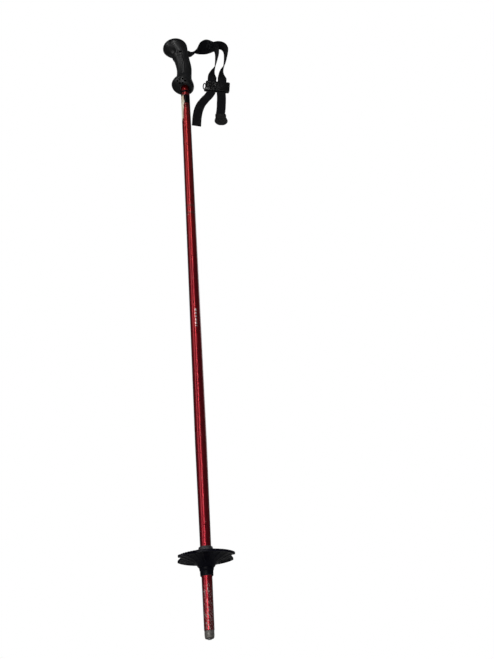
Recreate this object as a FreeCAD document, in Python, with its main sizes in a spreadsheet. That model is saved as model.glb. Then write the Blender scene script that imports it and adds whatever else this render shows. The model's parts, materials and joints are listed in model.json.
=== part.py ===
import FreeCAD, Part
import math
import os
import re

import Sketcher
from FreeCAD import Vector

# Alpine ski pole with its wrist strap, in millimetres.
# The origin is the centre of the tip's flat end. +Z runs up the tube, and +X is the back of the grip,
# the side where the strap leaves the head.

# Driving dimensions. Each becomes a cell of the sheet, with its name as the alias.
SIZES = {
    "shaft_radius": 9.0,           # straight part of the tube
    "shaft_wall": 1.2,
    "shaft_end_radius": 6.95,      # tube's lower end, after the taper
    "shaft_end_height": 11.0,
    "taper_top": 270.0,
    "grip_seat_height": 1048.0,    # the tube is turned down from here up, where the grip's core is glued
    "grip_seat_radius": 8.75,
    "shaft_top": 1138.0,
    "glue_gap": 0.02,              # radial gap between pieces glued or pressed together
    "ferrule_radius": 6.6,
    "ferrule_bottom": 0.6,
    "ferrule_shank_radius": 5.7,
    "ferrule_shank_top": 34.0,
    "ferrule_rounding": 2.4,
    "point_radius": 3.0,
    "point_top": 9.0,
    "point_chamfer": 0.4,
    "basket_bottom": 79.0,
    "basket_seam": 90.0,
    "basket_rim_height": 105.0,
    "basket_top": 118.0,
    "basket_radius": 43.0,
    "basket_thickness": 2.2,
    "basket_collar_radius": 10.4,
    "basket_bore_low": 7.548,      # hub bore, which follows the tube's taper with 0.06 of running clearance
    "basket_bore_high": 7.857,
    "basket_sleeve_wall": 1.0,
    "notch_apex_radius": 33.5,
    "notch_half_angle": 23.0,
    "first_tooth": 31.0,           # degrees from +X towards +Y
    "tooth_depth": 2.4,
    "tooth_pitch": 6.0,
    "tooth_count": 7.0,
    "grip_bottom": 1051.0,
    "core_radius": 11.5,
    "core_bottom": 1055.0,
    "core_top": 1141.0,
    "pommel_split": 1181.0,        # height where the cap sits on the handle
    "pole_length": 1200.0,
    "spigot_radius": 8.0,
    "spigot_depth": 5.0,
    "slot_height": 1160.0,         # height of the strap slot's middle line where it crosses the tube's axis
    "slot_tilt": 20.0,             # how steeply the slot rises towards the back
    "slot_width": 4.2,
    "slot_length": 20.6,
    "slot_back": -13.0,
    "screw_place": -8.0,
    "screw_height": 1152.5,
    "screw_radius": 1.9,
    "screw_head_radius": 3.0,
    "screw_head_depth": 11.5,      # distance of the screw's head from the middle of the grip
    "screw_head_height": 2.0,
    "screw_length": 19.0,
    "nut_radius": 2.7,
    "vent_radius": 1.7,
    "vent_place": -8.3,
    "vent_depth": 18.3,
    "vent_height": 1056.0,
    "vent_reach": 7.0,             # how far the vent holes go in past their middle point
    "webbing_width": 19.0,
    "webbing_thickness": 1.4,
    "layer_gap": 1.0,
    "strap_hinge": 13.0,
    "slider_width": 54.0,
    "slider_tall": 28.0,
    "slider_depth": 8.0,
    "slider_rounding": 2.4,
    "slider_lean": 6.0,
    "slider_across": 67.0,
    "slider_height": 1060.0,
    "strand_offset": 10.75,        # each strand's distance from the slider's middle
    "window_play": 0.3,
    "slider_bar_radius": 1.2,
    "slider_bar_below": 9.0,       # the bar's place from the slider's middle
    "slider_bar_behind": 2.4,
    "tab_width": 27.0,
    "tab_tall": 32.0,
    "tab_thickness": 3.4,
    "tab_across": 70.8,
    "tab_height": 962.5,
    "tab_pocket": 9.0,
    "tab_lower_rounding": 11.0,
    "tab_upper_rounding": 6.0,
    "tab_play": 0.15,
    "label_radius": 9.08,
    "label_bottom": 955.0,
    "label_tall": 70.0,
    "label_arc": 64.0,
    "label_turn": 188.0,
}

doc = FreeCAD.newDocument("ski_pole")
sheet = doc.addObject("Spreadsheet::Sheet", "Sizes")
for row, (alias, value) in enumerate(SIZES.items(), start=1):
    sheet.set(f"A{row}", alias)
    sheet.set(f"B{row}", str(value))
    sheet.setAlias(f"B{row}", alias)
doc.recompute()

SUBPARTS = []


# ---------------------------------------------------------------- sizes and expressions

def number(word):
    """One factor of a size: a sheet alias or a plain number."""
    return SIZES[word] if word in SIZES else float(word)


def value_of(text):
    """The value of a size written as a sum of terms, each an alias or number, with * and / unspaced."""
    total = 0.0
    sign = 1.0
    for token in text.split():
        if token in ("+", "-"):
            sign = 1.0 if token == "+" else -1.0
            continue
        top, _, bottom = token.partition("/")
        term = 1.0
        for factor in top.split("*"):
            term *= number(factor)
        total += sign * term / (number(bottom) if bottom else 1.0)
    return total


def expression(text):
    """The same size as a FreeCAD expression that reads the sheet."""
    return re.sub(r"[a-z_]+", lambda found: "Sizes." + found.group(0), text)


def bind(thing, **sizes):
    """Bind an object's properties to the sheet. A double underscore in a name stands for a dot."""
    for name, text in sizes.items():
        path = name.replace("__", ".")
        thing.setExpression(path, expression(text))


def keep(thing, label):
    """Mark an object as a sub-part, with the label that names its file."""
    thing.Label = label
    SUBPARTS.append(thing)
    return thing


# ---------------------------------------------------------------- sketches

def origin_plane(body, role):
    return next(f for f in body.Origin.OriginFeatures if f.Role == role)


def new_sketch(body, name, role):
    sketch = body.newObject("Sketcher::SketchObject", name)
    sketch.AttachmentSupport = [(origin_plane(body, role), "")]
    sketch.MapMode = "FlatFace"
    return sketch


def pin_point(sketch, geometry, end, across, up):
    """Hold one end of a line at a place given by two sizes."""
    for kind, axis, text in (("DistanceX", -2, across), ("DistanceY", -1, up)):
        if text == "0":
            sketch.addConstraint(Sketcher.Constraint("PointOnObject", geometry, end, axis))
            continue
        index = sketch.addConstraint(
            Sketcher.Constraint(kind, -1, 1, geometry, end, value_of(text))
        )
        sketch.setExpression(f"Constraints[{index}]", expression(text))


def closed_outline(sketch, corners):
    """A closed run of straight lines whose corners are held at sizes from the sheet."""
    places = [Vector(value_of(a), value_of(b), 0) for a, b in corners]
    first = sketch.GeometryCount
    count = len(corners)
    for i in range(count):
        sketch.addGeometry(Part.LineSegment(places[i], places[(i + 1) % count]))
    for i in range(count):
        following = first + (i + 1) % count
        sketch.addConstraint(Sketcher.Constraint("Coincident", first + i, 2, following, 1))
    for i, (across, up) in enumerate(corners):
        pin_point(sketch, first + i, 1, across, up)


def centred_rectangle(sketch, width, height):
    """A rectangle centred on the sketch's origin."""
    half_w = value_of(width) / 2
    half_h = value_of(height) / 2
    corners = [
        Vector(-half_w, -half_h, 0),
        Vector(half_w, -half_h, 0),
        Vector(half_w, half_h, 0),
        Vector(-half_w, half_h, 0),
    ]
    for i in range(4):
        sketch.addGeometry(Part.LineSegment(corners[i], corners[(i + 1) % 4]))
        kind = "Horizontal" if i % 2 == 0 else "Vertical"
        sketch.addConstraint(Sketcher.Constraint(kind, i))
    for i in range(4):
        sketch.addConstraint(Sketcher.Constraint("Coincident", i, 2, (i + 1) % 4, 1))
    sketch.addConstraint(Sketcher.Constraint("Symmetric", 0, 1, 2, 1, -1, 1))
    across = sketch.addConstraint(Sketcher.Constraint("DistanceX", 0, 1, 0, 2, value_of(width)))
    up = sketch.addConstraint(Sketcher.Constraint("DistanceY", 1, 1, 1, 2, value_of(height)))
    sketch.setExpression(f"Constraints[{across}]", expression(width))
    sketch.setExpression(f"Constraints[{up}]", expression(height))


# ---------------------------------------------------------------- bodies

def new_body(label):
    body = doc.addObject("PartDesign::Body", label)
    return keep(body, label)


def revolve(body, corners):
    """Turn an outline of (radius, height) corners about the body's Z axis."""
    sketch = new_sketch(body, body.Label + "_outline", "XZ_Plane")
    closed_outline(sketch, corners)
    turned = body.newObject("PartDesign::Revolution", body.Label + "_turned")
    turned.Profile = sketch
    turned.ReferenceAxis = (sketch, ["V_Axis"])
    turned.Angle = 360
    sketch.Visibility = False
    doc.recompute()
    return turned


def edges_at(shape, height, radius):
    """Names of the circular edges of a turned piece at a height and radius."""
    names = []
    for i, edge in enumerate(shape.Edges, start=1):
        box = edge.BoundBox
        level = abs(box.ZMin - height) < 0.01 and abs(box.ZMax - height) < 0.01
        if level and abs(box.XMax - radius) < 0.01:
            names.append(f"Edge{i}")
    return names


def round_edge(body, base, height, radius, rounding):
    fillet = body.newObject("PartDesign::Fillet", body.Label + "_round")
    fillet.Base = (base, edges_at(base.Shape, value_of(height), value_of(radius)))
    bind(fillet, Radius=rounding)
    body.Tip = fillet
    doc.recompute()
    return fillet


# ---------------------------------------------------------------- tube and tip

def build_shaft():
    """Aluminium tube: straight, then tapered to the tip, and turned down inside the grip."""
    body = new_body("shaft")
    revolve(body, [
        ("shaft_end_radius", "shaft_end_height"),
        ("shaft_radius", "taper_top"),
        ("shaft_radius", "grip_seat_height"),
        ("grip_seat_radius", "grip_seat_height"),
        ("grip_seat_radius", "shaft_top"),
        ("shaft_radius - shaft_wall", "shaft_top"),
        ("shaft_radius - shaft_wall", "taper_top"),
        ("shaft_end_radius - shaft_wall", "shaft_end_height"),
    ])


def build_ferrule():
    """Metal tip: a worn cap the width of the tube's end, with a shank pressed up into the tube."""
    body = new_body("tip_ferrule")
    turned = revolve(body, [
        ("point_radius + glue_gap", "ferrule_bottom"),
        ("ferrule_radius", "ferrule_bottom"),
        ("ferrule_radius", "shaft_end_height - glue_gap"),
        ("ferrule_shank_radius", "shaft_end_height - glue_gap"),
        ("ferrule_shank_radius", "ferrule_shank_top"),
        ("0", "ferrule_shank_top"),
        ("0", "point_top + glue_gap"),
        ("point_radius + glue_gap", "point_top + glue_gap"),
    ])
    round_edge(body, turned, "ferrule_bottom", "ferrule_radius", "ferrule_rounding")


def build_point():
    """Hard steel point, pressed into the ferrule, with a flat end."""
    body = new_body("tip_point")
    revolve(body, [
        ("0", "0"),
        ("point_radius - point_chamfer", "0"),
        ("point_radius", "point_chamfer"),
        ("point_radius", "point_top"),
        ("0", "point_top"),
    ])


# ---------------------------------------------------------------- basket

def build_basket_hub():
    """Sleeve in the middle of the basket. Its bore has the tube's taper, and its top stands above the plate."""
    body = new_body("basket_hub")
    revolve(body, [
        ("basket_bore_low", "basket_bottom"),
        ("basket_bore_low + basket_sleeve_wall", "basket_bottom"),
        ("basket_bore_low + basket_sleeve_wall", "basket_rim_height + 6"),
        ("basket_bore_high + 3.2", "basket_rim_height + 6"),
        ("basket_bore_high + 2.6", "basket_top - 1.5"),
        ("basket_bore_high + 1.4", "basket_top"),
        ("basket_bore_high", "basket_top"),
    ])


def build_basket_ring():
    """Collar round the hub's lower end, below the seam."""
    body = new_body("basket_lock_ring")
    inner = "basket_bore_low + basket_sleeve_wall + glue_gap"
    revolve(body, [
        (inner, "basket_bottom + 0.2"),
        ("basket_collar_radius - 1.6", "basket_bottom + 0.2"),
        ("basket_collar_radius - 1.2", "basket_bottom + 2"),
        ("basket_collar_radius - 0.8", "basket_seam - 4"),
        ("basket_collar_radius + 0.2", "basket_seam - 1"),
        ("basket_collar_radius - 0.1", "basket_seam - 0.1"),
        (inner, "basket_seam - 0.1"),
    ])


def rim_place(radius, degrees):
    """A corner on the basket's plan, as two sizes."""
    angle = math.radians(degrees)
    return radius * math.cos(angle), radius * math.sin(angle)


def cut_through(body, name, base_volume_from, outlines):
    """Pocket straight through the plate with closed outlines on the plan."""
    sketch = new_sketch(body, name, "XY_Plane")
    for outline in outlines:
        first = sketch.GeometryCount
        count = len(outline)
        for i in range(count):
            start = Vector(*outline[i], 0)
            end = Vector(*outline[(i + 1) % count], 0)
            sketch.addGeometry(Part.LineSegment(start, end))
        for i in range(count):
            following = first + (i + 1) % count
            sketch.addConstraint(Sketcher.Constraint("Coincident", first + i, 2, following, 1))
    before = base_volume_from.Shape.Volume
    pocket = body.newObject("PartDesign::Pocket", name + "_cut")
    pocket.Profile = sketch
    pocket.Type = 1
    pocket.Reversed = True
    sketch.Visibility = False
    doc.recompute()
    if pocket.Shape.Volume >= before:
        raise RuntimeError(name + " cuts nothing")
    return pocket


def build_basket_plate():
    """Dished plate with a trumpet-shaped middle, two deep rim notches and two runs of rim teeth."""
    body = new_body("basket_plate")
    inner = "basket_bore_low + basket_sleeve_wall + glue_gap"
    collar = "basket_collar_radius"
    rim = "basket_rim_height"
    turned = revolve(body, [
        (inner, "basket_seam"),
        (collar, "basket_seam"),
        (collar + " + 1.6", "basket_seam + 1.4"),
        (collar + " + 3", "basket_seam + 3.6"),
        (collar + " + 6.4", "basket_seam + 6.4"),
        (collar + " + 14", "basket_seam + 9.6"),
        ("basket_radius - 8", rim + " - 1.8"),
        ("basket_radius - 0.6", rim + " - 3.6"),
        ("basket_radius", rim + " - 2.8"),
        ("basket_radius - 0.4", rim + " + 0.4"),
        ("basket_radius - 8", rim + " + basket_thickness - 0.6"),
        (collar + " + 12", rim + " + basket_thickness - 0.8"),
        (collar + " + 4", rim + " + basket_thickness + 0.6"),
        (collar + " + 1", rim + " + 5.4"),
        (inner, rim + " + 5.4"),
    ])
    radius = value_of("basket_radius")
    apex = value_of("notch_apex_radius")
    half = value_of("notch_half_angle")
    beyond = radius + 6
    notches = []
    for side in (0, 180):
        notches.append([
            rim_place(apex, side),
            rim_place(apex + 3.4, side - half * 0.42),
            rim_place(radius + 0.1, side - half),
            rim_place(beyond, side - half),
            rim_place(beyond, side + half),
            rim_place(radius + 0.1, side + half),
            rim_place(apex + 3.4, side + half * 0.42),
        ])
    notched = cut_through(body, "basket_notches", turned, notches)
    depth = value_of("tooth_depth")
    pitch = value_of("tooth_pitch")
    first_tooth = value_of("first_tooth")
    teeth = []
    for side in (first_tooth, first_tooth + 180):
        teeth.append([
            rim_place(radius - depth, side),
            rim_place(beyond, side - pitch * 0.55),
            rim_place(beyond, side + pitch * 0.55),
        ])
    toothed = cut_through(body, "basket_teeth", notched, teeth)
    pattern = body.newObject("PartDesign::PolarPattern", "basket_tooth_run")
    pattern.Originals = [toothed]
    pattern.Axis = (toothed.Profile[0], ["N_Axis"])
    bind(pattern, Angle="tooth_pitch*tooth_count - tooth_pitch", Occurrences="tooth_count")
    body.Tip = pattern
    doc.recompute()


# ---------------------------------------------------------------- grip

# Sections of the handle and head, each an ellipse: height, front x, back x, half width along Y.
HANDLE_SECTIONS = [
    ("grip_bottom", -15.0, 13.2, 13.4),
    ("grip_bottom + 1.6", -20.6, 16.4, 17.6),
    ("grip_bottom + 5", -25.8, 18.4, 20.6),
    ("grip_bottom + 10", -28.0, 18.9, 21.6),
    ("grip_bottom + 16", -27.2, 18.0, 21.0),
    ("grip_bottom + 22", -24.6, 16.6, 19.2),
    ("grip_bottom + 32", -18.6, 15.0, 15.8),
    ("grip_bottom + 44", -16.0, 15.4, 14.4),
    ("grip_bottom + 62", -16.0, 15.8, 14.2),
    ("grip_bottom + 82", -19.4, 13.8, 14.6),
    ("grip_bottom + 96", -23.0, 11.8, 15.4),
    ("grip_bottom + 108", -27.6, 10.8, 17.0),
    ("grip_bottom + 119", -35.4, 10.6, 19.8),
    ("grip_bottom + 125", -41.6, 10.3, 21.8),
    ("pommel_split", -42.4, 10.2, 22.0),
]
CAP_SECTIONS = [
    ("pommel_split", -42.4, 10.2, 22.0),
    ("pommel_split + 6", -40.8, 9.2, 20.8),
    ("pommel_split + 12", -35.6, 6.2, 17.4),
    ("pommel_split + 16.5", -28.2, 0.8, 11.8),
    ("pole_length", -19.6, -8.6, 4.4),
]


def ellipse_section(name, height, front, back, half_width):
    """One horizontal ellipse of the grip, with its height bound to the sheet."""
    section = doc.addObject("Part::Ellipse", name)
    section.MajorRadius = (back - front) / 2
    section.MinorRadius = half_width
    section.Placement.Base = Vector((front + back) / 2, 0, value_of(height))
    bind(section, Placement__Base__z=height)
    return section


def lofted(name, sections):
    """Smooth solid through a run of ellipses."""
    wires = [ellipse_section(f"{name}_{i}", *s) for i, s in enumerate(sections)]
    loft = doc.addObject("Part::Loft", name)
    loft.Sections = wires
    loft.Solid = True
    loft.Ruled = False
    doc.recompute()
    return loft


def upright_cylinder(name, radius, bottom, height, across=0.0):
    tube = doc.addObject("Part::Cylinder", name)
    tube.Placement.Base = Vector(across, 0, value_of(bottom))
    bind(tube, Radius=radius, Height=height, Placement__Base__z=bottom)
    return tube


def cross_cylinder(name, radius, start_y, length):
    """Cylinder along +Y at the screw's place."""
    rod = doc.addObject("Part::Cylinder", name)
    turn = FreeCAD.Rotation(Vector(1, 0, 0), -90)
    base = Vector(value_of("screw_place"), value_of(start_y), value_of("screw_height"))
    rod.Placement = FreeCAD.Placement(base, turn)
    bind(rod, Radius=radius, Height=length, Placement__Base__x="screw_place",
         Placement__Base__y=start_y, Placement__Base__z="screw_height")
    return rod


def vent_holes():
    """Six short blind holes under the front of the flange, in a flattened hexagon."""
    inward = Vector(0.12, 0.72, 0.68).normalize()
    upward = Vector(0, -inward.z, inward.y).normalize()
    centre = Vector(value_of("vent_place"), value_of("0 - vent_depth"), value_of("vent_height"))
    row = [(-8.2, 0.0), (-2.9, 4.2), (2.9, 4.2), (8.2, 0.0), (2.9, -4.2), (-2.9, -4.2)]
    holes = []
    for i, (aside, above) in enumerate(row):
        hole = doc.addObject("Part::Cylinder", f"vent_{i}")
        start = centre + Vector(aside, 0, 0) + upward * above - inward * 6
        hole.Placement = FreeCAD.Placement(start, FreeCAD.Rotation(Vector(0, 0, 1), inward))
        bind(hole, Radius="vent_radius", Height="6 + vent_reach")
        holes.append(hole)
    return holes


def joined(kind, name, pieces):
    result = doc.addObject(kind, name)
    result.Shapes = pieces
    doc.recompute()
    return result


def on_slot_line(distance, aside=0.0, below=0.0):
    """Placement with X along the slot's middle line, at a distance from the tube's axis."""
    turn = FreeCAD.Rotation(Vector(0, 1, 0), -value_of("slot_tilt"))
    return FreeCAD.Placement(
        Vector(0, 0, value_of("slot_height")) + turn.multVec(Vector(distance, -aside, -below)), turn,
    )


def strap_slot():
    """Space for the doubled webbing, open at the back of the head."""
    slot = doc.addObject("Part::Box", "strap_slot")
    slot.Length = 40
    bind(slot, Width="slot_width", Height="slot_length")
    slot.Placement = on_slot_line(
        value_of("slot_back"), value_of("slot_width/2"), value_of("slot_length/2"),
    )
    return slot


def build_grip_shell():
    """Moulded handle with its round flange and the underside of the head."""
    outside = lofted("handle_loft", HANDLE_SECTIONS)
    cuts = [
        upright_cylinder("core_bore", "core_radius + glue_gap", "grip_bottom - 5",
                         "core_top + glue_gap - grip_bottom + 5"),
        upright_cylinder("spigot_bore", "spigot_radius + glue_gap",
                         "pommel_split - spigot_depth - glue_gap", "spigot_depth + 5", -13.0),
        cross_cylinder("screw_bore", "screw_radius + glue_gap", "0 - 40", "80"),
        cross_cylinder("screw_head_bore", "screw_head_radius + 0.1",
                       "0 - screw_head_depth - screw_head_height - 30", "screw_head_height + 30"),
        cross_cylinder("nut_bore", "nut_radius + glue_gap", "3", "50"),
        strap_slot(),
    ]
    tool = joined("Part::MultiFuse", "grip_hollows", cuts + vent_holes())
    shell = doc.addObject("Part::Cut", "grip_shell")
    shell.Base = outside
    shell.Tool = tool
    doc.recompute()
    keep(shell, "grip_shell")


def build_grip_cap():
    """Domed top of the pommel, with a spigot that locates it in the handle."""
    dome = lofted("cap_dome", CAP_SECTIONS)
    spigot = upright_cylinder("cap_spigot", "spigot_radius", "pommel_split - spigot_depth",
                              "spigot_depth + 4", -13.0)
    keep(joined("Part::MultiFuse", "grip_cap", [dome, spigot]), "grip_cap")


def build_grip_core():
    """Hard cup glued over the tube's top, which the handle is moulded on."""
    body = new_body("grip_core")
    revolve(body, [
        ("grip_seat_radius + glue_gap", "core_bottom"),
        ("core_radius", "core_bottom"),
        ("core_radius", "core_top"),
        ("0", "core_top"),
        ("0", "shaft_top + glue_gap"),
        ("grip_seat_radius + glue_gap", "shaft_top + glue_gap"),
    ])


# ---------------------------------------------------------------- strap fixing

def build_strap_screw():
    """Screw through the head and the doubled strap, from the side that faces -Y."""
    head = cross_cylinder("screw_head", "screw_head_radius",
                          "0 - screw_head_depth - screw_head_height", "screw_head_height")
    shank = cross_cylinder("screw_shank", "screw_radius", "0 - screw_head_depth", "screw_length")
    solid = joined("Part::MultiFuse", "screw_solid", [head, shank])
    drive = doc.addObject("Part::Prism", "screw_drive")
    drive.Polygon = 6
    drive.Circumradius = 1.4
    drive.Height = 1.2
    drive.Placement = FreeCAD.Placement(
        Vector(value_of("screw_place"),
               -value_of("screw_head_depth + screw_head_height"),
               value_of("screw_height")),
        FreeCAD.Rotation(Vector(1, 0, 0), -90),
    )
    screw = doc.addObject("Part::Cut", "strap_screw")
    screw.Base = solid
    screw.Tool = drive
    doc.recompute()
    keep(screw, "strap_screw")


def build_screw_nut():
    """Barrel nut that the screw runs into, from the +Y side."""
    barrel = cross_cylinder("nut_barrel", "nut_radius", "3 + glue_gap", "9")
    bore = cross_cylinder("nut_thread", "screw_radius + glue_gap", "0", "9")
    nut = doc.addObject("Part::Cut", "screw_nut")
    nut.Base = barrel
    nut.Tool = bore
    doc.recompute()
    keep(nut, "screw_nut")


def build_strap_anchor():
    """Doubled end of the strap inside the head, punched for the screw."""
    webbing = doc.addObject("Part::Box", "anchor_webbing")
    bind(webbing, Length="strap_hinge - 1.5 - slot_back - 1",
         Width="2*webbing_thickness + layer_gap", Height="webbing_width")
    webbing.Placement = on_slot_line(
        value_of("slot_back + 1"), value_of("webbing_thickness + layer_gap/2"),
        value_of("webbing_width/2"),
    )
    punch = cross_cylinder("anchor_punch", "screw_radius + 0.2", "0 - 6", "12")
    anchor = doc.addObject("Part::Cut", "strap_anchor")
    anchor.Base = webbing
    anchor.Tool = punch
    doc.recompute()
    keep(anchor, "strap_anchor")


# ---------------------------------------------------------------- webbing

class Station:
    """A place on a strap: its centre in the XZ plane, its heading there, and the webbing's twist.

    heading is measured from +X towards +Z. With no twist the webbing's width lies in the XZ plane,
    and at 90 degrees it lies along Y.
    """

    def __init__(self, across, height, heading, twist, lift=0.0, splay=0.0):
        self.across = across
        self.height = height
        self.heading = heading
        self.twist = twist
        self.lift = lift
        self.splay = splay

    def placement(self):
        heading = math.radians(self.heading)
        twist = math.radians(self.twist)
        tangent = Vector(math.cos(heading), 0, math.sin(heading))
        upward = Vector(-math.sin(heading), 0, math.cos(heading))
        width = upward * math.cos(twist) + Vector(0, 1, 0) * math.sin(twist)
        normal = tangent.cross(width)
        centre = Vector(self.across, 0, self.height) + normal * self.lift + width * self.splay
        return FreeCAD.Placement(centre, FreeCAD.Rotation(width, normal, tangent, "ZXY"))


def webbing_run(body, name, stations):
    """Loft the webbing's rectangular section along stations, and add it to the body."""
    sketches = []
    for i, station in enumerate(stations):
        sketch = body.newObject("Sketcher::SketchObject", f"{name}_{i}")
        sketch.Placement = station.placement()
        centred_rectangle(sketch, "webbing_width", "webbing_thickness")
        sketch.Visibility = False
        sketches.append(sketch)
    doc.recompute()
    loft = body.newObject("PartDesign::AdditiveLoft", name)
    loft.Profile = sketches[0]
    loft.Sections = sketches[1:]
    loft.Ruled = False
    body.Tip = loft
    doc.recompute()


def corner_curve(places, distances, corner):
    """Smooth curve through one corner of the webbing's section at each station."""
    curve = Part.BSplineCurve()
    curve.interpolate(
        Points=[place.multVec(corner) for place in places],
        Parameters=distances,
        InitialTangent=places[0].Rotation.multVec(Vector(0, 0, 1)),
        FinalTangent=places[-1].Rotation.multVec(Vector(0, 0, 1)),
    )
    return curve


def ruled_face(first, second):
    """Face between two corner curves, which have the same knots."""
    surface = Part.BSplineSurface()
    surface.buildFromPolesMultsKnots(
        [list(pair) for pair in zip(first.getPoles(), second.getPoles())],
        first.getMultiplicities(), [2, 2], first.getKnots(), [0.0, 1.0],
        False, False, first.Degree, 1,
    )
    return surface.toShape()


def ribbon_piece(stations):
    """Solid webbing through stations. Four corner curves carry the twist, which a loft of sections folds."""
    half_w = value_of("webbing_width/2")
    half_t = value_of("webbing_thickness/2")
    corners = [
        Vector(-half_w, -half_t, 0),
        Vector(half_w, -half_t, 0),
        Vector(half_w, half_t, 0),
        Vector(-half_w, half_t, 0),
    ]
    places = [station.placement() for station in stations]
    distances = [0.0]
    for before, after in zip(places, places[1:]):
        distances.append(distances[-1] + before.Base.distanceToPoint(after.Base))
    curves = [corner_curve(places, distances, corner) for corner in corners]
    faces = [ruled_face(curves[i], curves[(i + 1) % 4]) for i in range(4)]
    for place in (places[0], places[-1]):
        ends = [place.multVec(corner) for corner in corners]
        faces.append(Part.Face(Part.makePolygon(ends + ends[:1])))
    skin = Part.makeCompound(faces)
    skin.sewShape(0.001)
    solid = Part.Solid(skin.Shells[0])
    if solid.Volume < 0:
        solid.reverse()
    return solid


def ribbon(label, runs):
    """A twisted strap as one solid. Its width and thickness come from the sheet."""
    pieces = [ribbon_piece(run) for run in runs]
    shape = pieces[0] if len(pieces) == 1 else pieces[0].fuse(pieces[1:])
    strap = doc.addObject("Part::Feature", label)
    strap.Shape = shape
    strap.Placement = FreeCAD.Placement()
    keep(strap, label)


def band_stations(side):
    """The doubled band from the slot to the fork. It turns a quarter past edge-on, and the layers fan out."""
    lift = side * value_of("webbing_thickness/2 + layer_gap/2")
    start = on_slot_line(value_of("strap_hinge") + 1.5).Base
    tilt = value_of("slot_tilt")
    return [
        Station(start.x, start.z, tilt, 0, lift),
        Station(20.0, start.z + 2.6, tilt + 4, 32, lift),
        Station(28.0, start.z + 6.8, tilt + 10, 62, lift, side * 0.5),
        Station(40.0, start.z + 14.0, tilt + 8, 100, lift, side * 2.0),
        Station(52.0, start.z + 20.4, tilt - 1, 126, lift, side * 3.6),
        Station(64.0, start.z + 24.2, tilt - 7, 104, lift, side * 2.0),
    ]


def build_bands():
    """Two layers of webbing, one on the other."""
    for label, side in (("band_outer", 1), ("band_inner", -1)):
        ribbon(label, [band_stations(side)])


def along_slider(side, distance):
    """A place on a strand's straight part: the strand's side, and a distance up from the slider's middle."""
    lean = math.radians(value_of("slider_lean"))
    offset = side * value_of("strand_offset")
    across = value_of("slider_across") + offset * math.cos(lean) + distance * math.sin(lean)
    height = value_of("slider_height") - offset * math.sin(lean) + distance * math.cos(lean)
    return across, height


STRAND_TOP = 27.0       # the straight part's ends, from the slider's middle
STRAND_BOTTOM = -18.0
TAIL_TOP = -22.0


def build_strands():
    """The wrist loop's two sides. Each hangs edge-on, turns flat above the slider and runs through it."""
    down = -90 - value_of("slider_lean")
    inner_bend = [
        Station(71.0, 1188.4, -25, 90),
        Station(74.2, 1180.6, -84, 90),
        Station(73.0, 1158.0, -94, 90),
        Station(69.2, 1135.0, -100, 86),
        Station(63.6, 1108.0, -100, 56),
    ]
    outer_bend = [
        Station(71.0, 1192.6, 28, 90),
        Station(80.6, 1196.8, -6, 90),
        Station(89.4, 1191.0, -56, 90),
        Station(93.6, 1177.0, -86, 90),
        Station(91.2, 1146.0, -98, 88),
        Station(84.2, 1112.0, -100, 56),
    ]
    for label, side, bend in (("strand_inner", -1, inner_bend), ("strand_outer", 1, outer_bend)):
        top = Station(*along_slider(side, STRAND_TOP), down, 0)
        bottom = Station(*along_slider(side, STRAND_BOTTOM), down, 0)
        ribbon(label, [bend + [top], [top, bottom]])


def build_tails():
    """The strap's two ends below the slider: one cut plain, one with a moulded pull tab."""
    down = -90 - value_of("slider_lean")
    plain_across, plain_height = along_slider(-1, TAIL_TOP)
    webbing_run(new_body("plain_webbing"), "plain_run", [
        Station(plain_across, plain_height, down - 12, 0),
        Station(41.4, 1019.0, -130, 0),
        Station(30.6, 1002.0, -117, 0),
        Station(22.8, 976.0, -101, 0),
        Station(19.8, 944.0, -93, 0),
    ])
    tab_across, tab_height = along_slider(1, TAIL_TOP)
    tab_line = value_of("tab_across")
    tab_webbing = new_body("tab_webbing")
    hanging = Station(tab_line, 992.0, -90, 0)
    webbing_run(tab_webbing, "tab_bend", [
        Station(tab_across, tab_height, down, 0),
        Station(73.2, 1014.0, -95, 0),
        hanging,
    ])
    webbing_run(tab_webbing, "tab_end", [
        hanging,
        Station(tab_line, value_of("tab_height + tab_tall/2 - tab_pocket + 0.3"), -90, 0),
    ])


# ---------------------------------------------------------------- slider and tab

def slider_placement():
    return FreeCAD.Placement(
        Vector(value_of("slider_across"), 0, value_of("slider_height")),
        FreeCAD.Rotation(Vector(0, 1, 0), value_of("slider_lean")),
    )


def place_with_slider(thing):
    thing.Placement = slider_placement()
    bind(thing, Placement__Base__x="slider_across", Placement__Base__z="slider_height",
         Placement__Rotation__Angle="slider_lean")


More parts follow.
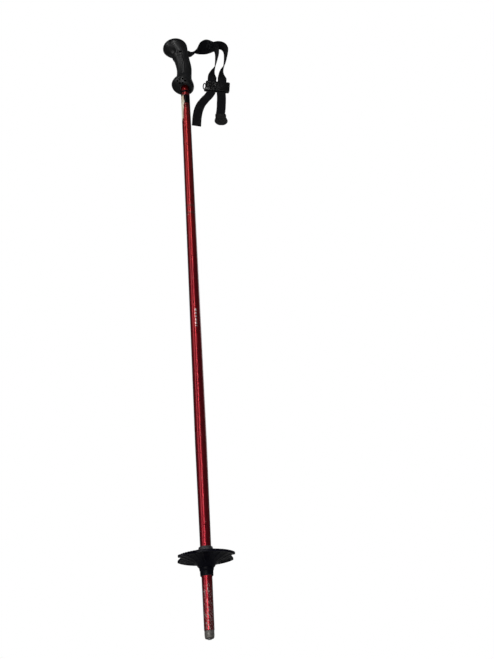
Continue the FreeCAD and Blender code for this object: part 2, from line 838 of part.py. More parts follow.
def build_slider_frame():
    """Slider block with two windows side by side, one for each strand, and a bore for the bar."""
    body = new_body("slider_frame")
    block = new_sketch(body, "slider_block", "XY_Plane")
    centred_rectangle(block, "slider_width", "slider_depth")
    pad = body.newObject("PartDesign::Pad", "slider_pad")
    pad.Profile = block
    pad.Midplane = True
    bind(pad, Length="slider_tall")
    doc.recompute()
    corners = []
    for i, edge in enumerate(pad.Shape.Edges, start=1):
        box = edge.BoundBox
        if box.ZLength > 1:
            corners.append(f"Edge{i}")
    fillet = body.newObject("PartDesign::Fillet", "slider_corners")
    fillet.Base = (pad, corners)
    bind(fillet, Radius="slider_rounding")
    doc.recompute()
    windows = new_sketch(body, "slider_windows", "XY_Plane")
    reach = "webbing_width/2 + window_play"
    deep = "webbing_thickness/2 + window_play"
    for side in ("strand_offset", "0 - strand_offset"):
        closed_outline(windows, [
            (f"{side} - {reach.replace('+', '-')}", "0 - " + deep.replace("+", "-")),
            (f"{side} + {reach}", "0 - " + deep.replace("+", "-")),
            (f"{side} + {reach}", deep),
            (f"{side} - {reach.replace('+', '-')}", deep),
        ])
    pocket = body.newObject("PartDesign::Pocket", "slider_window_cut")
    pocket.Profile = windows
    pocket.Midplane = True
    pocket.Type = 1
    doc.recompute()
    if pocket.Shape.Volume >= fillet.Shape.Volume:
        raise RuntimeError("the slider's windows cut nothing")
    bar_hole = new_sketch(body, "slider_bar_hole", "YZ_Plane")
    behind, below = value_of("slider_bar_behind"), value_of("slider_bar_below")
    radius = value_of("slider_bar_radius + glue_gap")
    circle = bar_hole.addGeometry(Part.Circle(Vector(behind, -below, 0), Vector(0, 0, 1), radius))
    for kind, places, amount, size in (
        ("DistanceX", (-1, 1, circle, 3), behind, "slider_bar_behind"),
        ("DistanceY", (circle, 3, -1, 1), below, "slider_bar_below"),
        ("Radius", (circle,), radius, "slider_bar_radius + glue_gap"),
    ):
        index = bar_hole.addConstraint(Sketcher.Constraint(kind, *places, amount))
        bar_hole.setExpression(f"Constraints[{index}]", expression(size))
    hole = body.newObject("PartDesign::Pocket", "slider_bar_cut")
    hole.Profile = bar_hole
    hole.Midplane = True
    hole.Type = 1
    body.Tip = hole
    doc.recompute()
    place_with_slider(body)


def build_slider_bar():
    """Steel bar across the slider, behind the webbing."""
    bar = doc.addObject("Part::Cylinder", "slider_bar")
    half = value_of("slider_width") / 2 - 0.6
    bind(bar, Radius="slider_bar_radius", Height="slider_width - 1.2")
    lean = slider_placement()
    local = FreeCAD.Placement(
        Vector(-half, value_of("slider_bar_behind"), -value_of("slider_bar_below")),
        FreeCAD.Rotation(Vector(0, 1, 0), 90),
    )
    bar.Placement = lean.multiply(local)
    doc.recompute()
    keep(bar, "slider_bar")


def build_end_tab():
    """Moulded pull tab on the long tail: a rounded paddle with a pocket for the webbing's end."""
    body = new_body("end_tab")
    outline = new_sketch(body, "tab_outline", "XZ_Plane")
    centred_rectangle(outline, "tab_width", "tab_tall")
    pad = body.newObject("PartDesign::Pad", "tab_pad")
    pad.Profile = outline
    pad.Midplane = True
    bind(pad, Length="tab_thickness")
    doc.recompute()
    low = [
        f"Edge{i}" for i, edge in enumerate(pad.Shape.Edges, start=1)
        if edge.BoundBox.YLength > 1 and edge.BoundBox.ZMax < 0
    ]
    lower = body.newObject("PartDesign::Fillet", "tab_lower_corners")
    lower.Base = (pad, low)
    bind(lower, Radius="tab_lower_rounding")
    doc.recompute()
    high = [
        f"Edge{i}" for i, edge in enumerate(lower.Shape.Edges, start=1)
        if edge.BoundBox.YLength > 1 and edge.BoundBox.ZMin > value_of("tab_tall/2") - 0.1
    ]
    upper = body.newObject("PartDesign::Fillet", "tab_upper_corners")
    upper.Base = (lower, high)
    bind(upper, Radius="tab_upper_rounding")
    doc.recompute()
    pocket_sketch = new_sketch(body, "tab_pocket", "XY_Plane")
    centred_rectangle(pocket_sketch, "webbing_width + 2*tab_play", "webbing_thickness + 2*tab_play")
    pocket_sketch.AttachmentOffset = FreeCAD.Placement(
        Vector(0, 0, value_of("tab_tall/2")), FreeCAD.Rotation()
    )
    bind(pocket_sketch, AttachmentOffset__Base__z="tab_tall/2")
    pocket = body.newObject("PartDesign::Pocket", "tab_pocket_cut")
    pocket.Profile = pocket_sketch
    bind(pocket, Length="tab_pocket")
    body.Tip = pocket
    doc.recompute()
    if pocket.Shape.Volume >= upper.Shape.Volume:
        raise RuntimeError("the tab's pocket cuts nothing")
    body.Placement.Base = Vector(value_of("tab_across"), 0, value_of("tab_height"))
    bind(body, Placement__Base__x="tab_across", Placement__Base__z="tab_height")


# ---------------------------------------------------------------- label

def build_label():
    """What is left of a thin label on the tube, wrapped part of the way round it."""
    outer = doc.addObject("Part::Cylinder", "label_outer")
    inner = doc.addObject("Part::Cylinder", "label_inner")
    for tube, radius in ((outer, "label_radius"), (inner, "shaft_radius + glue_gap/2")):
        tube.Placement = FreeCAD.Placement(
            Vector(0, 0, value_of("label_bottom")),
            FreeCAD.Rotation(Vector(0, 0, 1), value_of("label_turn")),
        )
        bind(tube, Radius=radius, Height="label_tall", Angle="label_arc",
             Placement__Base__z="label_bottom", Placement__Rotation__Angle="label_turn")
    label = doc.addObject("Part::Cut", "size_label")
    label.Base = outer
    label.Tool = inner
    doc.recompute()
    keep(label, "size_label")


# ---------------------------------------------------------------- build and export

def check(thing):
    for flag in ("Invalid", "Error"):
        if flag in thing.State:
            raise RuntimeError(f"{thing.Name} is {thing.State}")


for build in (
    build_shaft,
    build_ferrule,
    build_point,
    build_basket_hub,
    build_basket_ring,
    build_basket_plate,
    build_grip_shell,
    build_grip_cap,
    build_grip_core,
    build_strap_screw,
    build_screw_nut,
    build_strap_anchor,
    build_bands,
    build_strands,
    build_tails,
    build_slider_frame,
    build_slider_bar,
    build_end_tab,
    build_label,
):
    build()
doc.recompute()

for thing in doc.Objects:
    check(thing)
for part in SUBPARTS:
    if part.Shape.isNull() or not part.Shape.isValid():
        raise RuntimeError(part.Label + " has no valid shape")

os.makedirs("parts", exist_ok=True)
for part in SUBPARTS:
    part.Shape.exportStep(f"parts/{part.Label}.step")
    box = part.Shape.BoundBox
    print(f"{part.Label:18s} solids {len(part.Shape.Solids)} volume {part.Shape.Volume:10.1f} "
          f"x {box.XMin:7.1f} {box.XMax:7.1f} y {box.YMin:6.1f} {box.YMax:6.1f} "
          f"z {box.ZMin:7.1f} {box.ZMax:7.1f}")
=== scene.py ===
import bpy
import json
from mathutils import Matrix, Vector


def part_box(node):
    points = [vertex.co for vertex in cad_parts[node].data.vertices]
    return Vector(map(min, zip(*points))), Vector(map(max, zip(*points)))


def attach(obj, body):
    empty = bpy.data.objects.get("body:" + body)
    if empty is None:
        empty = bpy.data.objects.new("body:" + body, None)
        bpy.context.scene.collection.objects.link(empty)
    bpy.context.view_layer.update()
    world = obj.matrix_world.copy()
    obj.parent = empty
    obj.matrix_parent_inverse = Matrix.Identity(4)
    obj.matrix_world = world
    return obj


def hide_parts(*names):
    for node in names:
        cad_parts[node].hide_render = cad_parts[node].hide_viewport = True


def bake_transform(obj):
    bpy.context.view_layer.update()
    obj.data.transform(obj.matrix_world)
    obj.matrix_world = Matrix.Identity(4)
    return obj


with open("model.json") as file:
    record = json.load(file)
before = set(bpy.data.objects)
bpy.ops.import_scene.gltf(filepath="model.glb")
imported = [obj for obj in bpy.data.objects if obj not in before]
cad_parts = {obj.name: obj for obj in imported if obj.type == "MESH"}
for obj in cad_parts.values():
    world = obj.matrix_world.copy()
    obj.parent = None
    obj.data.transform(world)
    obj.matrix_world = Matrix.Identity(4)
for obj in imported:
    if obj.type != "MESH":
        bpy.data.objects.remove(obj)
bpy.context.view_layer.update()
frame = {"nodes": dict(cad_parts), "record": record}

import json
import math
from math import cos, pi, radians, sin, tau

import bpy
from mathutils import Matrix, Vector, noise

# Looks of the ski pole. Lengths in this file are in millimetres, and MM turns them into Blender's metres.
# +Z runs up the tube, +X is the back of the grip and -Y is the side that faces the camera.

MM = 0.001


# ---- places from the frame

def low(node):
    """Lowest corner of a node's box, in millimetres."""
    return Vector(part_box(node)[0]) / MM


def high(node):
    """Highest corner of a node's box, in millimetres."""
    return Vector(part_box(node)[1]) / MM


def joint(name):
    """A row of the record's joints."""
    return next(row for row in frame["record"]["behaviour"]["joints"] if row["name"] == name)


TUBE_RADIUS = high("shaft").x
TUBE_TOP = high("shaft").z
TUBE_END = low("shaft").z
TAPER_TOP = 270.0
GRIP_BOTTOM = low("grip_shell").z
POLE_LENGTH = high("grip_cap").z
POMMEL_SPLIT = high("grip_shell").z
BASKET_BOTTOM = low("basket_hub").z
BASKET_SEAM = low("basket_plate").z
BASKET_TOP = high("basket_hub").z
BASKET_RADIUS = high("basket_plate").y
WEBBING_WIDTH = 19.0
WEBBING_THICKNESS = 1.4
LAYER_LIFT = 1.1            # each layer's distance from the middle of the doubled strap
SLOT_HINGE = Vector(joint("strap_swing")["pos_m"]) / MM
SLIDE_AXIS = Vector(joint("slider_slide")["axis"]).normalized()


# ---- small maths

def lerp(a, b, t):
    return a + (b - a) * t


def smooth(a, b, value):
    """0 below a, 1 above b, and a smooth step between them."""
    t = min(max((value - a) / (b - a), 0.0), 1.0)
    return t * t * (3 - 2 * t)


def uneven(x, y, z):
    """Smooth noise between about -1 and 1, the same on each run."""
    return noise.noise(Vector((x, y, z)))


def hump(centre, reach, value):
    """1 at the centre, falling smoothly to 0 at reach on both sides."""
    return smooth(reach, 0.0, abs(value - centre))


def curve_through(rows, steps):
    """Catmull-Rom curve through rows of numbers, with steps points between neighbours."""
    padded = [rows[0], *rows, rows[-1]]
    points = []
    for i in range(1, len(padded) - 2):
        before, start, end, after = padded[i - 1:i + 3]
        for k in range(steps):
            t = k / steps
            points.append(tuple(
                0.5 * (2 * b + (c - a) * t + (2 * a - 5 * b + 4 * c - d) * t * t
                       + (3 * b - a - 3 * c + d) * t ** 3)
                for a, b, c, d in zip(before, start, end, after)
            ))
    points.append(tuple(rows[-1]))
    return points


ROUNDING_STEPS = 5


def rounded(corners, radius):
    """A run of (radius, height) corners with each inner corner replaced by a small curve."""
    points = [Vector(corners[0])]
    for before, corner, after in zip(corners, corners[1:], corners[2:]):
        before, corner, after = Vector(before), Vector(corner), Vector(after)
        reach = min(radius, (corner - before).length * 0.45, (after - corner).length * 0.45)
        start = corner + (before - corner).normalized() * reach
        end = corner + (after - corner).normalized() * reach
        for k in range(ROUNDING_STEPS + 1):
            t = k / ROUNDING_STEPS
            points.append(lerp(lerp(start, corner, t), lerp(corner, end, t), t))
    points.append(Vector(corners[-1]))
    return [tuple(p) for p in points]


# ---- mesh helpers

def new_piece(name, points, faces, material, sharp=40.0, uvs=None):
    """Mesh object from points in millimetres. uvs holds a pair for each point."""
    mesh = bpy.data.meshes.new(name)
    mesh.from_pydata([Vector(p) * MM for p in points], [], faces)
    if uvs:
        layer = mesh.uv_layers.new(name="UVMap")
        for loop, pair in zip(mesh.loops, layer.data):
            pair.uv = uvs[loop.vertex_index]
    mesh.validate()
    mesh.shade_smooth()
    mesh.set_sharp_from_angle(angle=radians(sharp))
    mesh.materials.append(material)
    piece = bpy.data.objects.new(name, mesh)
    bpy.context.scene.collection.objects.link(piece)
    return piece


def finish(piece, slot, body, *nodes):
    """Give a piece its body, and let it replace the CAD nodes named. The slot is not used."""
    if nodes:
        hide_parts(*nodes)
    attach(piece, body)


def circle(radius, height, count):
    """Points on a level circle round the Z axis."""
    return [(radius * cos(tau * j / count), radius * sin(tau * j / count), height)
            for j in range(count)]


def skin_rings(rings, joined=False):
    """Faces between rings of equal counts. Joined rings close on the first, and others have closed ends."""
    count = len(rings[0])
    points = [p for ring in rings for p in ring]
    faces = []
    for i in range(len(rings) if joined else len(rings) - 1):
        near, far = i * count, (i + 1) % len(rings) * count
        for j in range(count):
            k = (j + 1) % count
            faces.append((near + j, near + k, far + k, far + j))
    if joined:
        return points, faces
    for ring, start in ((rings[0], 0), (rings[-1], (len(rings) - 1) * count)):
        points.append(sum((Vector(p) for p in ring), Vector()) / count)
        for j in range(count):
            k = (j + 1) % count
            side = (start + k, start + j) if start == 0 else (start + j, start + k)
            faces.append((*side, len(points) - 1))
    return points, faces


LATHE_SEGMENTS = 96


def lathe(name, profile, material, joined=True, sharp=40.0):
    """Turn a profile of (radius, height) about Z. A joined profile makes a ring-shaped solid."""
    rings = [circle(radius, height, LATHE_SEGMENTS) for radius, height in profile]
    return new_piece(name, *skin_rings(rings, joined), material, sharp)


def carve(piece, tools):
    """Cut closed tool meshes out of a piece. The cut faces keep the tools' materials."""
    for tool in tools:
        cut = piece.modifiers.new("cut", "BOOLEAN")
        cut.operation = "DIFFERENCE"
        cut.object = tool
        cut.solver = "EXACT"
        cut.material_mode = "TRANSFER"
    bpy.context.view_layer.update()
    carved = bpy.data.meshes.new_from_object(piece.evaluated_get(bpy.context.evaluated_depsgraph_get()))
    piece.modifiers.clear()
    piece.data = carved
    for tool in tools:
        bpy.data.objects.remove(tool)
    carved.shade_smooth()
    carved.set_sharp_from_angle(angle=radians(40))


# ---- material helpers

class Shader:
    """A Principled material's node tree, with short calls for the nodes used in this file."""

    def __init__(self, name):
        self.material = bpy.data.materials.new(name)
        self.material.use_nodes = True
        self.tree = self.material.node_tree
        self.surface = self.tree.nodes["Principled BSDF"]
        self.place = self.add("TexCoord").outputs["Object"]

    def add(self, kind, settings=None, **inputs):
        """New node. Settings are its properties, and inputs are its sockets by name."""
        node = self.tree.nodes.new("ShaderNode" + kind)
        for name, value in (settings or {}).items():
            setattr(node, name, value)
        for name, value in inputs.items():
            self.feed(node.inputs[name.replace("_", " ")], value)
        return node

    def feed(self, socket, value):
        """Link a socket to another, or set its plain value."""
        if isinstance(value, bpy.types.NodeSocket):
            self.tree.links.new(value, socket)
        else:
            socket.default_value = value

    def set(self, **inputs):
        """Feed the Principled surface's inputs."""
        for name, value in inputs.items():
            self.feed(self.surface.inputs[name.replace("_", " ")], value)

    def math(self, operation, *values, clamp=False):
        node = self.add("Math", {"operation": operation, "use_clamp": clamp})
        for socket, value in zip(node.inputs, values):
            self.feed(socket, value)
        return node.outputs[0]

    def times(self, *values):
        """Product of masks or numbers."""
        result = values[0]
        for value in values[1:]:
            result = self.math("MULTIPLY", result, value)
        return result

    def total(self, *values):
        """Sum of masks, kept between 0 and 1."""
        result = values[0]
        for value in values[1:]:
            result = self.math("ADD", result, value, clamp=True)
        return result

    def step(self, value, start, end, low_value=0.0, high_value=1.0):
        """Smooth step of a value between start and end."""
        node = self.add("MapRange", {"interpolation_type": "SMOOTHSTEP"}, Value=value, From_Min=start,
                        From_Max=end, To_Min=low_value, To_Max=high_value)
        return node.outputs[0]

    def band(self, value, start, end, soft):
        """1 between start and end, 0 outside, with soft edges."""
        rise = self.step(value, start - soft, start + soft)
        fall = self.step(value, end - soft, end + soft, 1.0, 0.0)
        return self.times(rise, fall)

    def scaled(self, vector, x, y, z):
        return self.add("Mapping", Vector=vector, Scale=(x, y, z)).outputs[0]

    def noise(self, scale, detail=3.0, roughness=0.5, vector=None):
        node = self.add("TexNoise", Vector=vector or self.place, Scale=scale, Detail=detail,
                        Roughness=roughness)
        return node.outputs["Fac"]

    def fibres(self, x, y, z, detail, roughness=0.5):
        """Noise stretched by its own scale on each axis."""
        return self.noise(1.0, detail, roughness, self.scaled(self.place, x, y, z))

    def mix(self, factor, first, second):
        """Blend of two colours, each a socket or an RGB triple."""
        colours = [c if isinstance(c, bpy.types.NodeSocket) else (*c, 1.0) for c in (first, second)]
        return self.blend(factor, *colours, kind="RGBA", sockets=(0, 6, 7, 2))

    def blend(self, factor, first, second, kind="FLOAT", sockets=(0, 2, 3, 0)):
        """Blend of two numbers."""
        node = self.add("Mix", {"data_type": kind})
        for index, value in zip(sockets, (factor, first, second)):
            self.feed(node.inputs[index], value)
        return node.outputs[sockets[3]]

    def bump(self, height, distance, strength=1.0):
        return self.add("Bump", Height=height, Distance=distance * MM, Strength=strength).outputs[0]

    def axes(self):
        """The three parts of the object's own place, in millimetres."""
        return self.add("SeparateXYZ", Vector=self.scaled(self.place, 1 / MM, 1 / MM, 1 / MM)).outputs


# ---- materials

DASH_PITCH = 3.2


def red_tube():
    """Clear-coated red tube: fine flakes, printed rings, long scratches, and bare metal near the tip."""
    shader = Shader("red_tube")
    x, y, z = shader.axes()
    paint_and_shade = shader.mix(shader.step(z, 150, 950), (0.28, 0.010, 0.019), (0.40, 0.016, 0.014))
    cloud = shader.fibres(40, 40, 6, 4.0)
    cloud = shader.times(shader.step(cloud, 0.35, 0.7), shader.step(z, 900, 600, 0.3, 1.0))
    paint_and_shade = shader.mix(cloud, paint_and_shade, (0.24, 0.006, 0.014))
    # Painted shadow: the red darkens towards the grip, up to 60 per cent of the way to a deep red-brown, where
    # the flange shades the tube.
    paint_and_shade = shader.mix(shader.step(z, 930, 1040, 0.0, 0.6), paint_and_shade, (0.16, 0.005, 0.006))
    # Painted shade: the red goes nearly black where the surface turns away from the view, standing in for the
    # dark room seen at the tube's sides.
    edge = shader.add("LayerWeight", Blend=0.5).outputs["Facing"]
    paint_and_shade = shader.mix(shader.step(edge, 0.42, 0.86), paint_and_shade, (0.018, 0.001, 0.002))

    black = shader.total(*(
        shader.band(z, start, end, 0.3) for start, end in ((1034, 1040), (1021, 1025.5))
    ))
    front = shader.band(x, -3.4, 9.5, 0.5)
    patch = shader.times(shader.band(z, 1002, 1022, 0.6), front)
    worn_print = shader.times(shader.band(z, 988, 1002, 1.0), front)
    speckle = shader.step(shader.noise(1900.0, 2.0), 0.44, 0.56)
    patch = shader.total(patch, shader.times(worn_print, speckle), black)
    paint_and_shade = shader.mix(patch, paint_and_shade, (0.003, 0.002, 0.003))
    rings = shader.total(shader.band(z, 727, 732, 0.5), shader.band(z, 710, 715, 0.5))
    paint_and_shade = shader.mix(shader.times(rings, 0.55), paint_and_shade, (0.10, 0.045, 0.04))

    beat = shader.math("FRACT", shader.math("DIVIDE", z, DASH_PITCH * 2))
    dashes = shader.times(shader.band(beat, 0.10, 0.72, 0.04), shader.band(z, 470, 506, 0.3),
                          shader.band(x, -0.9, 2.1, 0.3), shader.step(y, 0, -2), 0.9)
    paint_and_shade = shader.mix(dashes, paint_and_shade, (0.75, 0.68, 0.66))

    streaks = shader.fibres(900, 900, 14, 5.0, 0.7)
    scratches = shader.times(shader.step(streaks, 0.665, 0.70), shader.step(z, 700, 180, 0.08, 1.0))
    chips = shader.fibres(620, 620, 380, 6.0, 0.75)
    limit = shader.step(z, BASKET_BOTTOM - 22, BASKET_BOTTOM + 12, 0.535, 0.70)
    bare = shader.math("MULTIPLY", shader.math("SUBTRACT", chips, limit), 30.0, clamp=True)
    rare = shader.step(shader.noise(55.0, 4.0, 0.8), 0.715, 0.73)
    bare = shader.total(bare, shader.times(scratches, 0.75), rare)
    metal = shader.mix(shader.noise(700.0), (0.20, 0.17, 0.15), (0.62, 0.55, 0.52))

    flakes = shader.add("TexVoronoi", Vector=shader.place, Scale=2600.0).outputs["Distance"]
    grime = shader.noise(90.0, 5.0, 0.65)
    height = shader.math("SUBTRACT", shader.times(flakes, 0.01), bare)
    shader.set(
        Base_Color=shader.mix(bare, paint_and_shade, metal),
        Metallic=shader.blend(patch, 0.88, 0.0),
        Roughness=shader.blend(bare, shader.step(grime, 0.3, 0.8, 0.26, 0.38), 0.55),
        Specular_IOR_Level=shader.blend(patch, 0.5, 0.05),
        Coat_Weight=shader.blend(shader.total(bare, patch), 0.22, 0.0),
        Coat_Roughness=0.12,
        Normal=shader.bump(height, 0.05, 0.6),
    )
    return shader.material


def webbing():
    """Black woven webbing: staggered ribs between two tight edges, slightly dusty on the high threads."""
    shader = Shader("webbing")
    scaled = shader.scaled(shader.add("TexCoord").outputs["UV"], 1 / MM, 1 / MM, 1)
    across, along, _ = shader.add("SeparateXYZ", Vector=scaled).outputs
    column = shader.math("DIVIDE", across, 1.15)
    stagger = shader.times(shader.math("FLOOR", column), 0.5)
    rib = shader.math("FRACT", shader.math("ADD", shader.math("DIVIDE", along, 1.9), stagger))
    rib = shader.math("SINE", shader.times(rib, pi))
    thread = shader.math("SINE", shader.times(shader.math("FRACT", column), pi))
    weave = shader.times(rib, shader.math("POWER", thread, 0.6))
    cord = shader.math("ABSOLUTE", shader.math("SINE", shader.times(across, pi / 0.62)))
    from_edge = shader.math("SUBTRACT", WEBBING_WIDTH / 2, shader.math("ABSOLUTE", across))
    weave = shader.blend(shader.step(from_edge, 1.3, 1.8), shader.times(cord, 0.8), weave)
    fuzz = shader.noise(1500.0, 3.0, 0.7)
    dust = shader.step(shader.noise(60.0, 4.0), 0.40, 0.75)
    tint = shader.mix(weave, (0.001, 0.001, 0.0015), (0.007, 0.007, 0.009))
    tint = shader.mix(shader.times(dust, 0.2), tint, (0.022, 0.021, 0.021))
    height = shader.math("ADD", weave, shader.times(fuzz, 0.25))
    shader.set(
        Base_Color=tint,
        Roughness=0.78,
        Specular_IOR_Level=0.08,
        Sheen_Weight=0.02,
        Sheen_Roughness=0.5,
        Normal=shader.bump(height, 0.16, 0.9),
    )
    return shader.material


def moulded(name, dark, light, roughness, grain, grain_depth, scuff, shine):
    """Moulded plastic or rubber: fine grain, uneven shine, and pale scuffs on its raised edges."""
    shader = Shader(name)
    fine = shader.noise(grain, 2.0, 0.6)
    wide = shader.noise(45.0, 5.0, 0.65)
    edges = shader.step(shader.add("NewGeometry").outputs["Pointiness"], 0.52, 0.60)
    marks = shader.fibres(300, 120, 300, 5.0, 0.75)
    marks = shader.step(marks, 0.60, 0.70)
    scuffs = shader.times(shader.total(marks, edges), scuff)
    tint = shader.mix(shader.step(wide, 0.45, 0.8), dark, light)
    shader.set(
        Base_Color=shader.mix(scuffs, tint, tuple(min(c * 3.2 + 0.02, 1.0) for c in light)),
        Roughness=shader.step(wide, 0.25, 0.8, roughness - 0.07, roughness + 0.12),
        Specular_IOR_Level=shine,
        Normal=shader.bump(fine, grain_depth, 0.55),
    )
    return shader


def basket_plastic():
    """Blue-black plastic, scratched outward from the hub and greyed where the rim meets the snow."""
    dark, light = (0.002, 0.002, 0.005), (0.004, 0.004, 0.008)
    shader = moulded("basket_plastic", dark, light, 0.40, 900.0, 0.05, 0.1, 0.07)
    x, y, _ = shader.axes()
    distance = shader.math("SQRT", shader.math("ADD", shader.times(x, x), shader.times(y, y)))
    angle = shader.math("ARCTAN2", y, x)
    polar = shader.add("CombineXYZ", X=shader.times(angle, 26.0), Y=shader.times(distance, 0.12))
    rays = shader.step(shader.noise(3.0, 5.0, 0.8, polar.outputs[0]), 0.60, 0.68)
    rim = shader.step(distance, BASKET_RADIUS - 9, BASKET_RADIUS)
    wear = shader.times(rays, shader.math("ADD", shader.times(rim, 0.45), 0.12))
    before = shader.surface.inputs["Base Color"].links[0].from_socket
    shader.set(Base_Color=shader.mix(wear, before, (0.06, 0.055, 0.065)))
    return shader.material


def worn_metal():
    """Dull grey ferrule: pitted, scratched round and darkened by dirt towards its lower end."""
    shader = Shader("worn_metal")
    _, _, z = shader.axes()
    pits = shader.noise(420.0, 6.0, 0.75)
    grooves = shader.fibres(120, 120, 1600, 4.0, 0.7)
    dirt = shader.total(shader.step(pits, 0.5, 0.7), shader.step(z, 3.0, 0.8))
    tint = shader.mix(shader.step(grooves, 0.35, 0.7), (0.13, 0.12, 0.11), (0.25, 0.235, 0.215))
    shader.set(
        Base_Color=shader.mix(shader.times(dirt, 0.6), tint, (0.09, 0.08, 0.07)),
        Metallic=0.55,
        Roughness=shader.step(pits, 0.3, 0.7, 0.42, 0.66),
        Normal=shader.bump(shader.math("ADD", pits, grooves), 0.12, 0.8),
    )
    return shader.material


def steel(name, light, dark, shine):
    """Turned steel with fine rings of tool marks and a little tarnish."""
    shader = Shader(name)
    marks = shader.fibres(200, 200, 3000, 3.0, 0.6)
    tarnish = shader.step(shader.noise(300.0, 4.0), 0.5, 0.75)
    shader.set(
        Base_Color=shader.mix(tarnish, light, dark),
        Metallic=shine,
        Roughness=shader.step(marks, 0.3, 0.7, 0.28, 0.46),
        Normal=shader.bump(marks, 0.02, 0.5),
    )
    return shader.material


def label_film():
    """Yellowed label film with paper fibres and brown stains along its torn edge. It has no print."""
    shader = Shader("label_film")
    fibres = shader.fibres(700, 700, 160, 5.0, 0.7)
    stains = shader.noise(70.0, 4.0, 0.6)
    tint = shader.mix(shader.step(stains, 0.38, 0.72), (0.80, 0.75, 0.60), (0.56, 0.47, 0.32))
    tint = shader.mix(shader.step(fibres, 0.58, 0.72), tint, (0.42, 0.36, 0.27))
    shader.set(Base_Color=tint, Roughness=0.7, Normal=shader.bump(fibres, 0.05, 0.8))
    return shader.material


def hole_shade():
    """Painted shade for the inside of the small deep holes: a near-black that reflects almost nothing."""
    shader = Shader("hole_shade")
    # Uneven noise in the painted shade's near-black.
    dirt = shader.noise(900.0, 3.0)
    tint = shader.mix(dirt, (0.0004, 0.0004, 0.0004), (0.0025, 0.0022, 0.0020))
    shader.set(Base_Color=tint, Roughness=0.95, Specular_IOR_Level=0.0)
    return shader.material


def thread():
    """Waxed sewing thread, twisted."""
    shader = Shader("thread")
    twist = shader.noise(2600.0, 2.0)
    shader.set(
        Base_Color=shader.mix(twist, (0.020, 0.020, 0.022), (0.060, 0.060, 0.064)),
        Roughness=0.55,
        Normal=shader.bump(twist, 0.06),
    )
    return shader.material


# Plain mouldings: dark tint, light tint, roughness, grain scale, grain depth, scuffs and shine.
MOULDINGS = {
    "grip_rubber": ((0.003, 0.003, 0.0035), (0.008, 0.008, 0.009), 0.37, 1300.0, 0.06, 0.10, 0.40),
    "cap_rubber": ((0.001, 0.001, 0.0012), (0.003, 0.003, 0.0035), 0.34, 1300.0, 0.06, 0.10, 0.2),
    "core_plastic": ((0.02, 0.02, 0.02), (0.04, 0.04, 0.04), 0.4, 800.0, 0.03, 0.35, 0.3),
    "slider_plastic": ((0.001, 0.001, 0.001), (0.004, 0.004, 0.0045), 0.19, 700.0, 0.015, 0.12, 0.42),
    "tab_rubber": ((0.003, 0.0026, 0.0022), (0.008, 0.007, 0.006), 0.55, 1100.0, 0.10, 0.2, 0.2),
    "hub_plastic": ((0.035, 0.035, 0.038), (0.07, 0.07, 0.072), 0.5, 800.0, 0.05, 0.4, 0.3),
}
MATERIALS = {name: moulded(name, *row).material for name, row in MOULDINGS.items()}
MATERIALS["steel"] = steel("steel", (0.45, 0.45, 0.46), (0.20, 0.16, 0.13), 1.0)
# The screw's copy of the steel is painted nearly black: painted shade for a screw sitting deep in its hole.
MATERIALS["shaded_steel"] = steel("shaded_steel", (0.035, 0.035, 0.037), (0.015, 0.012, 0.010), 0.6)
for make in (red_tube, webbing, basket_plastic, worn_metal, label_film, hole_shade, thread):
    MATERIALS[make.__name__] = make()


# ---- tube and tip

def build_tube():
    """Tube that tapers below TAPER_TOP, and is turned down where the grip's core is glued on."""
    wall = 1.2
    end_radius = 6.95
    seat_radius = 8.75
    seat = GRIP_BOTTOM - 3
    outer = [(end_radius, TUBE_END), (TUBE_RADIUS, TAPER_TOP), (TUBE_RADIUS, seat), (seat_radius, seat + 0.1),
             (seat_radius, TUBE_TOP)]
    inner = [(radius - wall, height) for radius, height in reversed(outer)]
    tube = lathe("tube", outer + inner, MATERIALS["red_tube"], sharp=30)
    finish(tube, "red_tube", "pole", "shaft")


def build_tip():
    """Worn ferrule pressed into the tube's end, with the steel point in its hollow."""
    top = TUBE_END
    profile = rounded([
        (3.06, 8.0), (3.06, 1.7), (4.9, 0.75), (6.1, 1.9), (6.62, 5.0), (6.6, top - 0.5), (6.1, top - 0.05),
        (5.7, top), (5.7, 34.0), (3.06, 34.0), (3.06, 9.2),
    ], 0.9)
    ferrule = lathe("ferrule", profile, MATERIALS["worn_metal"], sharp=60)
    dent(ferrule, 0.16, 0.35, 7)
    finish(ferrule, "worn_metal", "pole", "tip_ferrule")
    point_radius = high("tip_point").x
    point_top = high("tip_point").z
    point = lathe("point", [(point_radius - 0.5, 0.0), (point_radius - 0.1, 0.25), (point_radius, 0.8),
                            (point_radius, point_top - 0.3), (point_radius - 0.3, point_top)],
                  MATERIALS["steel"], joined=False)
    finish(point, "steel", "pole", "tip_point")


def dent(piece, depth, scale, seed):
    """Push a mesh's points in by up to a depth, unevenly, as knocks do."""
    offset = Vector((seed * 3.1, seed * 1.7, seed * 2.3))
    for vertex in piece.data.vertices:
        place = vertex.co / MM
        push = max(uneven(*(place * scale + offset)), 0.0) * depth
        vertex.co -= vertex.normal * push * MM


# ---- basket

NOTCH_APEX = 33.5
NOTCH_HALF_ANGLE = 23.0
FIRST_TOOTH = 31.0
TOOTH_PITCH = 6.0
TOOTH_COUNT = 7
TOOTH_DEPTH = 2.4
COLLAR_RADIUS = 10.4
DISH_BORE = 8.6
DISH_RIBS = 18
DISH_SEGMENTS = 900
DISH_RINGS = 44
RIM_ROUNDING = 0.35


def from_notch(degrees):
    """Angle from the nearer notch, at 0 or 180 degrees."""
    turn = degrees % 180
    return min(turn, 180 - turn)


def tooth_at(degrees):
    """1 in the bottom of each gap between the rim's teeth, 0 on the plain rim."""
    cut = 0.0
    for i in range(TOOTH_COUNT):
        away = abs(degrees % 180 - FIRST_TOOTH - i * TOOTH_PITCH)
        cut = max(cut, 1 - away / (TOOTH_PITCH * 0.5))
    return cut


